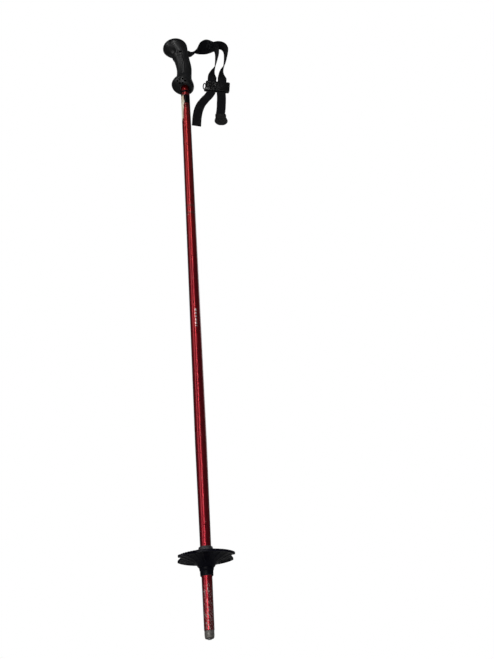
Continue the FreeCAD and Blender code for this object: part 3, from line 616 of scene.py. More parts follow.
def rim_radius(degrees):
    """The basket's outline: round, with two swallow-tail notches and two runs of teeth."""
    radius = BASKET_RADIUS
    aside = from_notch(degrees)
    if aside < NOTCH_HALF_ANGLE:
        part = aside / NOTCH_HALF_ANGLE
        return lerp(NOTCH_APEX, radius, 0.55 * part + 0.45 * part * part)
    return radius - TOOTH_DEPTH * tooth_at(degrees)


def through(rows, value):
    """Height on a smooth run of (radius, height) rows."""
    if value <= rows[0][0]:
        return rows[0][1]
    for (a, first), (b, second) in zip(rows, rows[1:]):
        if value <= b:
            return lerp(first, second, (value - a) / (b - a))
    return rows[-1][1]


def build_basket_plate():
    """Dished plate with a trumpet middle, radial ribs underneath and a rounded rim."""
    seam = BASKET_SEAM
    top = high("basket_plate").z
    collar = COLLAR_RADIUS
    under = curve_through([
        (collar, seam), (collar + 1.6, seam + 1.4), (collar + 3, seam + 3.6), (collar + 6.4, seam + 6.4),
        (collar + 14, seam + 9.6), (BASKET_RADIUS - 8, top - 7.2), (BASKET_RADIUS - 2, top - 8.4),
        (BASKET_RADIUS + 1, top - 8.8),
    ], 6)
    over = curve_through([
        (DISH_BORE, top), (collar + 1, top), (collar + 4, top - 2.6), (collar + 12, top - 4.0),
        (BASKET_RADIUS - 8, top - 3.9), (BASKET_RADIUS - 2, top - 4.7), (BASKET_RADIUS + 1, top - 5.0),
    ], 6)
    rings = [(k / DISH_RINGS, under, -1) for k in range(DISH_RINGS + 1)]
    rings.append((1.0, None, 0))
    rings += [(k / DISH_RINGS, over, 1) for k in range(DISH_RINGS, -1, -1)]
    points = []
    for part, surface, side in rings:
        ring = []
        for j in range(DISH_SEGMENTS):
            degrees = 360 * j / DISH_SEGMENTS
            edge = rim_radius(degrees)
            start = collar if side < 0 else DISH_BORE
            if surface is None:
                radius = edge
                height = (through(under, edge) + through(over, edge)) / 2
            else:
                radius = lerp(start, edge - RIM_ROUNDING, part ** 0.85)
                height = through(surface, radius)
            rib = abs(sin(radians(degrees * DISH_RIBS / 2)))
            if side < 0:
                height -= 0.5 * smooth(0.2, 0.02, rib) * smooth(15, 19, radius) * smooth(39, 35, radius)
                height += 0.25 * smooth(edge - 1.6, edge, radius)
            elif side > 0:
                height += 0.5 * hump(BASKET_RADIUS - 7.5, 1.4, radius)
                height -= 0.25 * smooth(edge - 1.6, edge, radius)
            height -= 1.4 * tooth_at(degrees) * smooth(BASKET_RADIUS - 9, BASKET_RADIUS - 1, radius)
            angle = radians(degrees)
            ring.append((radius * cos(angle), radius * sin(angle), height))
        points.append(ring)
    points.append(circle(DISH_BORE, seam, DISH_SEGMENTS))
    plate = new_piece("basket_dish", *skin_rings(points, joined=True), MATERIALS["basket_plastic"], sharp=50)
    finish(plate, "basket_plastic", "basket", "basket_plate")


def build_basket_hub():
    """Grey hub sleeve with a flange above the dish, and the dark ring that locks it from below."""
    bore_low = 7.548
    bore_high = 7.809
    sleeve = 8.55
    plate_top = high("basket_plate").z
    profile = rounded([
        (bore_low, BASKET_BOTTOM + 4), (bore_low, BASKET_BOTTOM), (sleeve, BASKET_BOTTOM),
        (sleeve, plate_top + 0.1), (10.9, plate_top + 0.1), (11.0, plate_top + 1.6),
        (9.9, BASKET_TOP - 0.6), (bore_high + 0.4, BASKET_TOP), (bore_high, BASKET_TOP - 0.8),
        (bore_low, BASKET_BOTTOM + 4),
    ], 0.6)
    hub = lathe("basket_collar", profile[:-1], MATERIALS["hub_plastic"], sharp=50)
    finish(hub, "hub_plastic", "basket", "basket_hub")
    bottom = low("basket_lock_ring").z
    top = high("basket_lock_ring").z
    profile = rounded([
        (8.58, bottom + 3), (8.58, bottom), (8.8, bottom), (9.1, bottom + 0.9), (9.3, bottom + 5.4),
        (9.05, bottom + 5.8), (9.05, bottom + 6.4), (9.8, bottom + 7.0), (10.4, top), (8.58, top),
        (8.58, bottom + 3),
    ], 0.35)
    ring = lathe("basket_ring", profile[:-1], MATERIALS["basket_plastic"], sharp=50)
    finish(ring, "basket_plastic", "basket", "basket_lock_ring")


# ---- grip

GRIP_SEGMENTS = 240
HEAD_TILT = 5.0             # degrees that the head leans down towards its beak
HEAD_PIVOT = (-18.0, 1156.0)
CAP_CENTRE = -15.7
CAP_HALF_LENGTH = 26.7
CAP_HALF_WIDTH = 22.3

# Rows of the handle, each: height above the grip's bottom, front x, back x, half width, squareness.
HANDLE_ROWS = [
    (0.0, -14.6, 13.1, 13.2, 2.0),
    (0.5, -17.8, 15.0, 15.6, 2.0),
    (1.9, -22.0, 17.0, 18.3, 2.0),
    (5.2, -26.2, 18.8, 20.7, 2.0),
    (10, -28.0, 19.2, 21.5, 2.0),
    (15.5, -27.4, 18.5, 21.0, 2.0),
    (21, -25.0, 16.9, 19.5, 2.05),
    (27, -21.2, 15.5, 17.4, 2.1),
    (35, -17.4, 15.0, 15.2, 2.2),
    (48, -16.0, 15.6, 14.3, 2.3),
    (62, -16.0, 16.0, 14.2, 2.3),
    (76, -17.8, 14.8, 14.3, 2.3),
    (88, -20.2, 12.9, 14.6, 2.25),
    (96, -22.4, 11.8, 15.2, 2.2),
    (104, -25.0, 11.2, 16.2, 2.15),
    (111, -28.4, 10.9, 17.4, 2.1),
    (117, -33.4, 10.8, 19.0, 2.05),
    (121.5, -38.4, 10.9, 20.9, 2.0),
    (125, -41.6, 11.0, 22.1, 2.0),
    (127.6, -42.5, 11.1, 22.4, 2.0),
    (129.5, -42.3, 11.0, 22.3, 2.0),
]


def tilt_head(point):
    """Lean the head forward, more the higher it is."""
    x, y, z = point
    pivot_x, pivot_z = HEAD_PIVOT
    angle = radians(-HEAD_TILT) * smooth(pivot_z - 22, pivot_z + 14, z)
    across, up = x - pivot_x, z - pivot_z
    return (
        pivot_x + across * cos(angle) + up * sin(angle),
        y,
        pivot_z - across * sin(angle) + up * cos(angle),
    )


def tilt_flange(point):
    """Lift the flange towards the front and drop it towards the back."""
    x, y, z = point
    return x, y, z - 0.09 * x * smooth(GRIP_BOTTOM + 40, GRIP_BOTTOM + 12, z)


def grip_ring(height, front, back, half_width, square):
    """One level of the grip, rounder or squarer by its last value."""
    ring = []
    middle = (front + back) / 2
    reach = (back - front) / 2
    for j in range(GRIP_SEGMENTS):
        angle = tau * j / GRIP_SEGMENTS
        cosine, sine = cos(angle), sin(angle)
        x = math.copysign(abs(cosine) ** (2 / square), cosine) * reach
        y = math.copysign(abs(sine) ** (2 / square), sine) * half_width
        ring.append((middle + x, y, height))
    return ring


def handle_relief(point, middle):
    """Inward push on the handle's surface: finger scoops, side facets and the hollow under the beak."""
    x, y, z = point
    up = z - GRIP_BOTTOM
    degrees = math.degrees(math.atan2(abs(y), middle - x))
    scoop = 4.4 * hump(111, 11, up) * hump(36, 38, degrees)
    facet = 0.55 * hump(62, 44, up) * (hump(52, 15, degrees) + hump(118, 18, degrees))
    ridge = -0.7 * hump(70, 50, up) * hump(84, 12, degrees)
    nub = -1.9 * hump(97, 7, up) * hump(0, 40, degrees)
    step = 0.5 * smooth(91.0, 93.0, up) * smooth(110, 96, up) * hump(70, 60, degrees)
    return scoop + facet + ridge + nub + step


def pushed(ring):
    """Move a ring's points towards its middle by the handle's relief."""
    middle = sum(p[0] for p in ring) / len(ring)
    moved = []
    for x, y, z in ring:
        outward = Vector((x - middle, y, 0)).normalized()
        amount = handle_relief((x, y, z), middle)
        moved.append((x - outward.x * amount, y - outward.y * amount, z))
    return moved


def round_tool(start, end, radius):
    """Round cutting tool between two places, for deep holes that look black: their cut walls take the
    near-black painted shade of hole_shade.
    """
    turn = (end - start).to_track_quat("Z", "Y")
    rings = [[centre + turn @ Vector(p) for p in circle(radius, 0, 40)] for centre in (start, end)]
    return new_piece("tool", *skin_rings(rings), MATERIALS["hole_shade"])


def slot_tool(half_thickness, half_width):
    """Cutting tool for the strap's slot, from behind the screw out through the back of the head."""
    corners = [
        SLOT_FRAME @ Vector((x, y, z))
        for z in (-half_width, half_width)
        for x, y in ((-13, -half_thickness), (40, -half_thickness), (40, half_thickness), (-13, half_thickness))
    ]
    faces = [(3, 2, 1, 0), (4, 5, 6, 7), (0, 1, 5, 4), (1, 2, 6, 5), (2, 3, 7, 6), (3, 0, 4, 7)]
    return new_piece("tool", corners, faces, MATERIALS["grip_rubber"])


SLOT_TILT = radians(20.0)
SLOT_FRAME = (
    Matrix.Translation((0, 0, SLOT_HINGE.z - SLOT_HINGE.x * math.tan(SLOT_TILT)))
    @ Matrix.Rotation(-SLOT_TILT, 4, "Y")
)
VENT_DEPTH = 7.0
VENT_RADIUS = 2.0


def vent_tools():
    """Six short holes under the front of the flange, in a flattened hexagon."""
    inward = Vector((0.12, 0.72, 0.68)).normalized()
    upward = Vector((0, -inward.z, inward.y)).normalized()
    centre = Vector((-8.3, -18.3, GRIP_BOTTOM + 5))
    row = [(-8.4, 0.0), (-3.0, 4.4), (3.0, 4.4), (8.4, 0.0), (3.0, -4.4), (-3.0, -4.4)]
    tools = []
    for aside, above in row:
        place = centre + Vector((aside, 0, 0)) + upward * above
        tools.append(round_tool(place - inward * 6, place + inward * VENT_DEPTH, VENT_RADIUS))
    return tools


def build_handle():
    """Moulded handle: round flange, waisted hold, and the flared underside of the head."""
    levels = curve_through(HANDLE_ROWS, 9)
    rings = []
    for height, front, back, half_width, square in levels:
        ring = grip_ring(GRIP_BOTTOM + height, front, back, half_width, square)
        rings.append([tilt_flange(tilt_head(p)) for p in pushed(ring)])
    top = rings[-1]
    middle = sum((Vector(p) for p in top), Vector()) / len(top)
    for inset, rise in ((0.985, 0.25), (0.95, 0.2), (0.5, 0.2)):
        rings.append([tuple(middle + (Vector(p) - middle) * inset + Vector((0, 0, rise))) for p in top])
    recess = [
        [tilt_flange(p) for p in circle(radius, GRIP_BOTTOM + rise, GRIP_SEGMENTS)]
        for radius, rise in ((11.5, 3.8), (11.7, 0.4), (12.2, -0.1))
    ]
    handle = new_piece("handle", *skin_rings(recess + rings), MATERIALS["grip_rubber"])
    screw_low, screw_high = low("strap_screw"), high("strap_screw")
    screw = Vector(((screw_low.x + screw_high.x) / 2, screw_low.y, (screw_low.z + screw_high.z) / 2))
    screw_hole = round_tool(screw + Vector((0, 2.2, 0)), screw + Vector((0, -30, 0)), 3.1)
    carve(handle, vent_tools() + [screw_hole, slot_tool(2.1, 10.3)])
    finish(handle, "grip_rubber", "pole", "grip_shell")


def build_cap():
    """Domed cap of the pommel, with a fine groove where it meets the handle."""
    height = POLE_LENGTH - POMMEL_SPLIT
    rings = [(0.5, -0.1), (0.955, -0.1), (0.985, 0.15)]
    steps = 26
    for k in range(1, steps):
        angle = pi / 2 * k / steps
        rings.append((cos(angle) ** 0.72, height * sin(angle) ** 1.08 + 0.2))
    loops = []
    for scale, rise in rings:
        shift = 1.5 * rise / height
        middle = CAP_CENTRE + shift
        reach = CAP_HALF_LENGTH * scale
        level = POMMEL_SPLIT + rise - 0.6 * rise / height
        ring = grip_ring(level, middle - reach, middle + reach, CAP_HALF_WIDTH * scale, 2.0)
        loops.append([tilt_head(p) for p in ring])
    cap = new_piece("pommel_cap", *skin_rings(loops), MATERIALS["cap_rubber"], sharp=50)
    finish(cap, "grip_rubber", "pole", "grip_cap")


# ---- webbing

STRAP_STEPS = 14


class Strap:
    """Webbing along a smooth path. Each row of the path is x, y, z and twist, in millimetres and degrees.

    With no twist the width lies in the XZ plane, and at 90 degrees it lies along Y.
    """

    def __init__(self, rows, lift=0.0):
        samples = curve_through(rows, STRAP_STEPS)
        self.frames = []
        self.lengths = []
        travelled = 0.0
        for i, (x, y, z, twist) in enumerate(samples):
            place = Vector((x, y, z))
            ahead = Vector(samples[min(i + 1, len(samples) - 1)][:3])
            behind = Vector(samples[max(i - 1, 0)][:3])
            along = (ahead - behind).normalized()
            upward = along.cross(Vector((0, 1, 0)))
            turn = radians(twist)
            width = upward * cos(turn) + Vector((0, 1, 0)) * sin(turn)
            width = (width - along * width.dot(along)).normalized()
            normal = along.cross(width)
            if i:
                travelled += (place - Vector(samples[i - 1][:3])).length
            self.frames.append((place + normal * lift, width, normal))
            self.lengths.append(travelled)

    def at(self, distance):
        """Place, width and normal at a distance along the path."""
        i = 0
        while i < len(self.lengths) - 2 and self.lengths[i + 1] < distance:
            i += 1
        share = (distance - self.lengths[i]) / (self.lengths[i + 1] - self.lengths[i])
        return [lerp(a, b, share) for a, b in zip(self.frames[i], self.frames[i + 1])]

    @staticmethod
    def section():
        """Outline of the webbing: flat faces, a slightly fuller selvedge, and round edges."""
        half_width = WEBBING_WIDTH / 2
        half = WEBBING_THICKNESS / 2
        flat = half_width - half
        count = 14
        outline = []
        for side in (1, -1):
            for k in range(count + 1):
                across = side * lerp(-flat, flat, k / count)
                fuller = 1.0 if abs(across) > flat - 1.3 else 0.86
                outline.append((across, side * half * fuller))
            for k in range(1, 6):
                angle = pi * k / 6
                outline.append((side * (flat + half * sin(angle)), side * half * cos(angle)))
        return outline

    def piece(self, name, ripple_seed):
        """The webbing as a closed mesh, with small uneven waves, and UVs in metres for its weave."""
        outline = self.section()
        rings = []
        for (place, width, normal), travelled in zip(self.frames, self.lengths):
            ring = []
            for across, rise in outline:
                wave = uneven(across * 0.10, travelled * 0.045, ripple_seed * 7.3)
                edge_wave = uneven(ripple_seed * 5.1, travelled * 0.12, across * 0.02)
                bow = 0.28 * (across / WEBBING_WIDTH * 2) ** 2
                ring.append(place + width * (across + edge_wave * 0.18)
                            + normal * (rise + wave * 0.30 + bow))
            rings.append(ring)
        points, faces = skin_rings(rings)
        uvs = [(across * MM, travelled * MM) for travelled in self.lengths for across, _ in outline]
        uvs += [(0.0, self.lengths[0] * MM), (0.0, self.lengths[-1] * MM)]
        return new_piece(name, points, faces, MATERIALS["webbing"], sharp=50, uvs=uvs)


def slot_line(distance):
    """A place on the slot's middle line."""
    return SLOT_FRAME @ Vector((distance, 0, 0))


STRAND_OFFSET = 10.75


def slider_point(side, distance):
    """A place on a strand's straight part, on one side and up from the slider's middle."""
    middle = (low("slider_frame") + high("slider_frame")) / 2
    across = Vector((SLIDE_AXIS.z, 0, -SLIDE_AXIS.x))
    return Vector((middle.x, 0, middle.z)) + across * side * STRAND_OFFSET + SLIDE_AXIS * distance


def band_rows(side):
    """Rows of one layer of the doubled band. The layers part where the band turns to face outwards."""
    x, _, z = slot_line(13.0)
    return [
        (*slot_line(-10.5), 0), (*slot_line(0.0), 0), (*slot_line(10.0), 2),
        (x + 1.6, 0, z + 0.9, 6), (20.0, 0, z + 4.2, 32), (28.0, side * 0.8, z + 11.0 - side * 0.6, 66),
        (40.0, side * 4.0, z + 20.0 - side * 2.6, 108), (51.0, side * 5.2, z + 24.8 - side * 3.4, 126),
        (60.0, side * 3.0, z + 25.2 - side * 2.0, 122), (66.0, side * 1.2, z + 25.4 - side * 0.8, 116),
    ]


def strand_rows(side):
    """Rows of one side of the wrist loop, from the fork down into the slider, where the strand runs flat."""
    z = slot_line(13.0).z
    if side < 0:
        bend = [
            (58.0, -3.0, z + 25.6, 122), (63.0, -1.6, z + 25.6, 119), (68.0, -0.6, z + 25.0, 118),
            (72.2, 0, z + 21.2, 117), (74.0, 0, z + 12.6, 115), (73.0, 0, z - 8.0, 110),
            (69.4, 0, z - 30.0, 102), (65.4, 0, z - 50.0, 90), (62.2, 0, z - 63.0, 52),
        ]
    else:
        bend = [
            (58.0, 3.0, z + 25.0, 122), (63.0, 1.8, z + 27.2, 118), (70.0, 0.6, z + 29.6, 112),
            (79.6, 0, z + 31.4, 108), (89.4, 0, z + 26.4, 112), (94.0, 0, z + 12.0, 116),
            (91.2, 0, z - 16.0, 108), (85.4, 0, z - 44.0, 96), (82.2, 0, z - 61.0, 54),
        ]
    flat = ((31.5, 17), (27.0, 1.5), (14.0, 0), (2.0, 0))
    return bend + [(*slider_point(side, distance), twist) for distance, twist in flat]


def tail_rows(side):
    """Rows of one of the strap's two ends, from inside the slider down."""
    straight = [(*slider_point(side, distance), 0) for distance in (3.0, -8.0, -18.0)]
    if side < 0:
        return straight + [(49.0, 0, 1032.0, 0), (39.6, 0, 1018.6, 0), (29.6, 0.6, 1001.0, 4),
                           (23.0, 1.2, 976.0, 8), (19.8, 1.0, 944.4, 6)]
    line = ((low("end_tab") + high("end_tab")) / 2).x
    return straight + [(75.6, 0, 1028.0, 0), (74.2, 0.5, 1008.0, -3), (line + 1.6, 0.3, 990.0, -2),
                       (line, 0, 980.0, 0), (line, 0, 970.6, 0)]


def webbing_piece(name, strap, seed, nodes):
    """One length of webbing that replaces the CAD nodes named, with its placement baked into its mesh."""
    piece = strap.piece(name, seed)
    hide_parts(*nodes)
    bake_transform(piece)


def build_webbing():
    """The doubled band, the wrist loop's two sides and the two tails. Returns the band's layers."""
    lower, upper = (Strap(band_rows(side), lift=side * LAYER_LIFT) for side in (1, -1))
    webbing_piece("band_lower", lower, 3, ("band_outer", "strap_anchor"))
    webbing_piece("band_upper", upper, 1, ("band_inner",))
    webbing_piece("loop_near_side", Strap(strand_rows(-1)), 4, ("strand_inner",))
    webbing_piece("loop_far_side", Strap(strand_rows(1)), 6, ("strand_outer",))
    for name, side, body, node in (("tail_plain", -1, "plain_tail", "plain_webbing"),
                                   ("tail_tabbed", 1, "tab_tail", "tab_webbing")):
        webbing_piece(name, Strap(tail_rows(side)), side + 9, (node,))
    return lower, upper


STITCH = 2.1
STITCH_STEPS = 6
THREAD_RADIUS = 0.23


def stitch_pieces(name, strap, lines, face, body):
    """Rows of stitches on one face of a strap. Each line is (across, distance) at its two ends."""
    points, faces = [], []
    for first, last in lines:
        count = max(int(math.dist(first, last) / STITCH), 1)
        for k in range(count):
            rows = []
            for step in range(STITCH_STEPS + 1):
                share = (k + 0.12 + 0.76 * step / STITCH_STEPS) / count
                place, width, normal = strap.at(lerp(first[1], last[1], share))
                arch = sin(pi * step / STITCH_STEPS)
                rise = WEBBING_THICKNESS / 2 + 0.02 + 0.22 * arch + 0.1
                rows.append((place + width * lerp(first[0], last[0], share) + normal * face * rise, normal))
            rings = []
            for (centre, normal), ahead in zip(rows, rows[1:] + rows[-2:-1]):
                side = (ahead[0] - centre).normalized().cross(normal).normalized()
                rings.append([centre + side * x + normal * y for x, y, _ in circle(THREAD_RADIUS, 0, 6)])
            new_points, new_faces = skin_rings(rings)
            faces += [tuple(v + len(points) for v in f) for f in new_faces]
            points += new_points
    finish(new_piece(name, points, faces, MATERIALS["thread"], sharp=80), "webbing", body)


def box_and_cross(half, start, end):
    """Stitch lines of a box with a cross in it."""
    return [((-half, start), (half, start)), ((half, start), (half, end)), ((half, end), (-half, end)),
            ((-half, end), (-half, start)), ((-half, start), (half, end)), ((half, start), (-half, end))]


# ---- slider and pull tab

CORNER_STEPS = 4


def soft_box(name, size, radius, material, place):
    """Box with rounded edges, centred on a placement in millimetres."""
    core = [side / 2 - radius for side in size]
    angles = [pi / 2 * k / CORNER_STEPS for k in range(CORNER_STEPS + 1)]
    levels = [(-core[2] - radius * cos(a), radius * sin(a)) for a in angles]
    levels += [(core[2] + radius * sin(a), radius * cos(a)) for a in angles]
    rings = []
    for height, reach in levels:
        ring = []
        for quarter, (sx, sy) in enumerate(((1, 1), (-1, 1), (-1, -1), (1, -1))):
            for a in angles:
                turn = a + pi / 2 * quarter
                x, y = sx * core[0] + reach * cos(turn), sy * core[1] + reach * sin(turn)
                ring.append((x, y, height))
        rings.append(ring)
    return placed(new_piece(name, *skin_rings(rings), material), place)


def placed(piece, place):
    """Move a piece's mesh by a placement in millimetres."""
    shift = place.copy()
    shift.translation = place.translation * MM
    piece.data.transform(shift)
    return piece


def slider_frame_place(x=0.0, y=0.0, z=0.0):
    """Placement in the slider's own frame: X across, Z up the strands."""
    middle = (low("slider_frame") + high("slider_frame")) / 2
    lean = math.atan2(SLIDE_AXIS.x, SLIDE_AXIS.z)
    return (Matrix.Translation(Vector((middle.x, 0, middle.z))) @ Matrix.Rotation(lean, 4, "Y")
            @ Matrix.Translation(Vector((x, y, z))))


def oval_ring(name, half_width, half_height, bar, place, material):
    """Thin oval ring in the XZ plane."""
    rings = []
    for x, z, _ in circle(1, 0, 48):
        centre = Vector((half_width * x, 0, half_height * z))
        outward = Vector((x / half_width, 0, z / half_height)).normalized()
        rings.append([centre + outward * a + Vector((0, b, 0)) for a, b, _ in circle(bar, 0, 12)])
    return placed(new_piece(name, *skin_rings(rings, joined=True), material), place)


SLIDER_WINDOW = (WEBBING_WIDTH + 1.6, 3.4, 60.0)


def slider_windows():
    """Cutting tools for the openings that the two strands pass through."""
    plastic = MATERIALS["slider_plastic"]
    return [
        soft_box("tool", SLIDER_WINDOW, 0.6, plastic, slider_frame_place(side * STRAND_OFFSET))
        for side in (-1, 1)
    ]


def build_slider():
    """Slider: a thick block with a window for each strand, grip ribs, a lower lip and a cord eye."""
    plastic = MATERIALS["slider_plastic"]
    block = soft_box("slider_block", (51.6, 8.6, 26.4), 2.6, plastic, slider_frame_place(2.2, 0, 0.8))
    recesses = [
        soft_box("tool", (20.0, 1.6, 15.0), 0.7, plastic, slider_frame_place(-12.0, y, 1.5))
        for y in (-4.1, 4.1)
    ]
    carve(block, slider_windows() + recesses)
    finish(block, "slider_plastic", "slider", "slider_frame")
    for i in range(4):
        for side, face in ((-1, "front"), (1, "back")):
            place = slider_frame_place(-12.0, side * 3.5, -3.2 + 3.2 * i)
            rib = soft_box(f"slider_rib_{i}_{face}", (15.0, 1.3, 1.5), 0.6, plastic, place)
            finish(rib, "slider_plastic", "slider")
    lip = soft_box("slider_lip", (52.4, 7.8, 3.4), 1.5, plastic, slider_frame_place(0.4, 0, -12.2))
    carve(lip, slider_windows())
    finish(lip, "slider_plastic", "slider")
    eye = oval_ring("slider_cord_eye", 2.7, 8.6, 1.2, slider_frame_place(-25.6, 0, -1.0), plastic)
    finish(eye, "slider_plastic", "slider")


def tab_outline(inset):
    """Outline of the pull tab, moved in by an inset: straight neck, then a round paddle."""
    tall = high("end_tab").z - low("end_tab").z
    wide = high("end_tab").x - low("end_tab").x
    neck = WEBBING_WIDTH / 2 + 1.6
    bottom = -tall / 2
    rows = [(neck - 2.4, tall / 2), (neck, tall / 2 - 2.2), (neck, 5.6), (neck + 0.5, 3.0),
            (wide / 2 - 0.8, 0.4), (wide / 2, -4.2), (wide / 2 - 1.2, -9.0), (wide / 2 - 5.0, -13.4),
            (wide / 2 - 9.6, bottom + 0.4)]
    right = curve_through(rows, 6)
    outline = right + [(-x, z) for x, z in reversed(right)]
    return [
        (math.copysign(max(abs(x) - inset, 0.1), x), z - math.copysign(inset, z) * min(abs(z) / 8, 1))
        for x, z in outline
    ]


def build_pull_tab():
    """Moulded pull tab: rounded edge, a raised border round a slightly sunk face, and grip bars."""
    middle = (low("end_tab") + high("end_tab")) / 2
    half = high("end_tab").y
    edge = [(3.4, 0.45), (2.6, 0.4), (2.0, 0.0), (1.0, 0.02), (0.35, 0.35), (0.0, 0.95)]
    levels = [(inset, -half + rise) for inset, rise in edge]
    levels += [(inset, half - rise) for inset, rise in reversed(edge)]
    rings = [[(middle.x + x, y, middle.z + z) for x, z in tab_outline(inset)] for inset, y in levels]
    rubber = MATERIALS["tab_rubber"]
    tab = new_piece("pull_tab", *skin_rings(rings), rubber, sharp=45)
    place = Matrix.Translation((middle.x, 0, high("end_tab").z))
    carve(tab, [soft_box("tool", (WEBBING_WIDTH + 0.5, 1.9, 19.0), 0.5, rubber, place)])
    finish(tab, "tab_rubber", "tab_tail", "end_tab")
    for i in range(3):
        for side, face in ((-1, "front"), (1, "back")):
            place = Matrix.Translation((middle.x, side * (half - 0.5), middle.z - 2.4 - 3.0 * i))
            bar = soft_box(f"pull_tab_bar_{i}_{face}", (13.0 - 1.6 * i, 0.9, 1.3), 0.42, rubber, place)
            finish(bar, "tab_rubber", "tab_tail")


# ---- label

def build_label():
    """Torn remains of a label, wrapped on the tube, with a ragged edge and a lifted corner."""
    bottom, top = low("size_label").z, high("size_label").z
    inner = TUBE_RADIUS + 0.015
    levels = 150
    steps = 26
    start_angle = 187.0
    rings = []
    for i in range(levels + 1):
        z = lerp(bottom, top, i / levels)
        ragged = uneven(0.0, 3.0, z * 0.11) * 11 + uneven(5.0, 0.0, z * 0.8) * 4
        wide = lerp(40.0, 58.0, smooth(bottom + 16, top - 20, z)) + ragged
        wide *= lerp(0.55, 1.0, smooth(bottom, bottom + 7, z))
        ragged_back = uneven(9.0, 1.0, z * 0.5) * 3
        outer_side, inner_side = [], []
        for k in range(steps + 1):
            degrees = start_angle + ragged_back + wide * k / steps
            lift = 0.25 * smooth(bottom + 9, bottom, z) * (k / steps) ** 2
            angle = radians(degrees)
            for side, radius in ((outer_side, inner + 0.10 + lift), (inner_side, inner + lift)):
                side.append((radius * cos(angle), radius * sin(angle), z))
        rings.append(outer_side + list(reversed(inner_side)))
    label = new_piece("torn_label", *skin_rings(rings), MATERIALS["label_film"], sharp=60)
    finish(label, "label_film", "pole", "size_label")


# ---- carried-over parts

def dress_frame_nodes():
    """Materials on the CAD parts that stay: fasteners and the core inside the grip."""
    # The screw gets the near-black steel, painted shade for its deep hole.
    for node, material in (("strap_screw", "shaded_steel"), ("screw_nut", "steel"), ("slider_bar", "steel"),
                           ("grip_core", "core_plastic")):
        part = frame["nodes"][node]
        part.data.materials.clear()
        part.data.materials.append(MATERIALS[material])


# ---- stage

def aimed(thing, target):
    """Turn a lamp or camera's -Z towards a place."""
    thing.rotation_euler = (Vector(target) - thing.location).to_track_quat("-Z", "Y").to_euler()


def softbox(name, place, target, wide, tall, power):
    """Rectangular area light, in metres and watts."""
    lamp = bpy.data.lights.new(name, "AREA")
    lamp.shape = "RECTANGLE"
    lamp.size = wide
    lamp.size_y = tall
    lamp.energy = power
    lamp_object = bpy.data.objects.new(name, lamp)
    lamp_object.location = place
    bpy.context.scene.collection.objects.link(lamp_object)
    aimed(lamp_object, target)
    lamp_object.visible_camera = False


FLOOR_HALF = 12000.0


def build_floor():
    """Pale floor under the tip, brighter away from it, which can be seen through from below. Its paleness is
    painted light: a glow that only the camera sees, rising with distance so the floor fades into the white
    backdrop.
    """
    shader = Shader("floor")
    shader.set(Base_Color=(0.86, 0.86, 0.85, 1.0), Roughness=0.9)
    distance = shader.add("VectorMath", {"operation": "LENGTH"}, Vector=shader.place).outputs["Value"]
    # Painted light: a glow seen only by the camera, rising with distance from the tip.
    glow = shader.step(distance, 0.5, 2.8, 0.62, 1.05)
    shader.set(Emission_Color=(1.0, 1.0, 1.0, 1.0),
               Emission_Strength=shader.times(shader.add("LightPath").outputs["Is Camera Ray"], glow))
    clear = shader.add("BsdfTransparent").outputs[0]
    behind = shader.add("NewGeometry").outputs["Backfacing"]
    mixed = shader.add("MixShader")
    shader.feed(mixed.inputs[0], behind)
    shader.feed(mixed.inputs[1], shader.surface.outputs[0])
    shader.feed(mixed.inputs[2], clear)
    shader.feed(shader.tree.nodes["Material Output"].inputs["Surface"], mixed.outputs[0])
    corners = [(-FLOOR_HALF, -FLOOR_HALF, -1), (FLOOR_HALF, -FLOOR_HALF, -1), (FLOOR_HALF, FLOOR_HALF, -1),
               (-FLOOR_HALF, FLOOR_HALF, -1)]
    new_piece("floor", corners, [(0, 1, 2, 3)], shader.material)


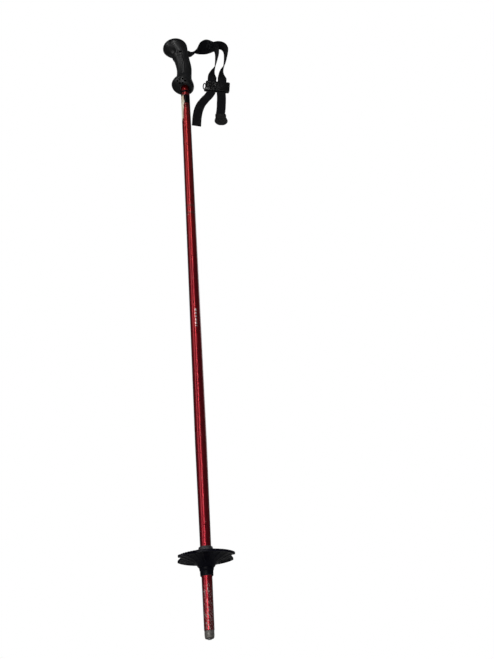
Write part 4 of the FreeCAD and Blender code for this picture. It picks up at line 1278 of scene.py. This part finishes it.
def build_world():
    """White backdrop for the camera, and a dimmer room for reflections and fill light."""
    world = bpy.data.worlds.new("studio")
    bpy.context.scene.world = world
    world.use_nodes = True
    tree = world.node_tree
    tree.nodes.clear()
    room, seen, path, mixed, output = (
        tree.nodes.new("ShaderNode" + kind)
        for kind in ("Background", "Background", "LightPath", "MixShader", "OutputWorld")
    )
    seen.inputs["Color"].default_value = (1.0, 1.0, 1.0, 1.0)
    room.inputs["Color"].default_value = (0.93, 0.96, 1.0, 1.0)
    room.inputs["Strength"].default_value = 0.09
    for start, end in ((path.outputs["Is Camera Ray"], mixed.inputs[0]), (room.outputs[0], mixed.inputs[1]),
                       (seen.outputs[0], mixed.inputs[2]), (mixed.outputs[0], output.inputs["Surface"])):
        tree.links.new(start, end)


def build_camera():
    """Camera below the tip's level in front of the pole, looking up at it, rolled a little."""
    camera_data = bpy.data.cameras.new("camera")
    camera = bpy.data.objects.new("camera", camera_data)
    bpy.context.scene.collection.objects.link(camera)
    bpy.context.scene.camera = camera
    yaw, pitch, roll = -0.1408, 0.5801, -0.0931
    forward = Vector((-sin(yaw) * cos(pitch), cos(yaw) * cos(pitch), sin(pitch)))
    level = Vector((cos(yaw), sin(yaw), 0))
    upward = level.cross(forward)
    right = level * cos(roll) + upward * sin(roll)
    up = upward * cos(roll) - level * sin(roll)
    turn = Matrix((right, up, -forward)).transposed().to_4x4()
    camera.matrix_world = Matrix.Translation(Vector((-55.6, -1051.6, -131.5)) * MM) @ turn
    camera_data.sensor_width = 36.0
    camera_data.lens = 39.50
    camera_data.shift_y = -0.0741
    camera_data.clip_end = 50.0


def build_stage():
    build_floor()
    build_world()
    build_camera()
    softbox("key", (-1.9, -1.3, 1.8), (0, 0, 1.8), 0.45, 3.2, 14.0)
    softbox("streak", (-0.31, -1.6, 1.75), (0, 0, 1.75), 0.11, 3.3, 16.0)
    softbox("rim", (1.5, 1.5, 1.6), (0, 0, 0.8), 0.8, 1.4, 7.0)
    softbox("grip_fill", (-0.35, -0.9, 0.1), (0, 0, 1.1), 0.3, 0.3, 3.0)
    bpy.context.scene.view_settings.view_transform = "Standard"


# ---- build

build_tube()
build_tip()
build_basket_plate()
build_basket_hub()
build_handle()
build_cap()
LOWER_BAND, UPPER_BAND = build_webbing()
for name, strap, face in (("bartack_below", LOWER_BAND, 1), ("bartack_above", UPPER_BAND, -1)):
    end = strap.lengths[-1]
    stitch_pieces(name, strap, box_and_cross(7.2, end - 14.0, end - 5.0), face, "strap_band")
build_slider()
build_pull_tab()
build_label()
dress_frame_nodes()
build_stage()
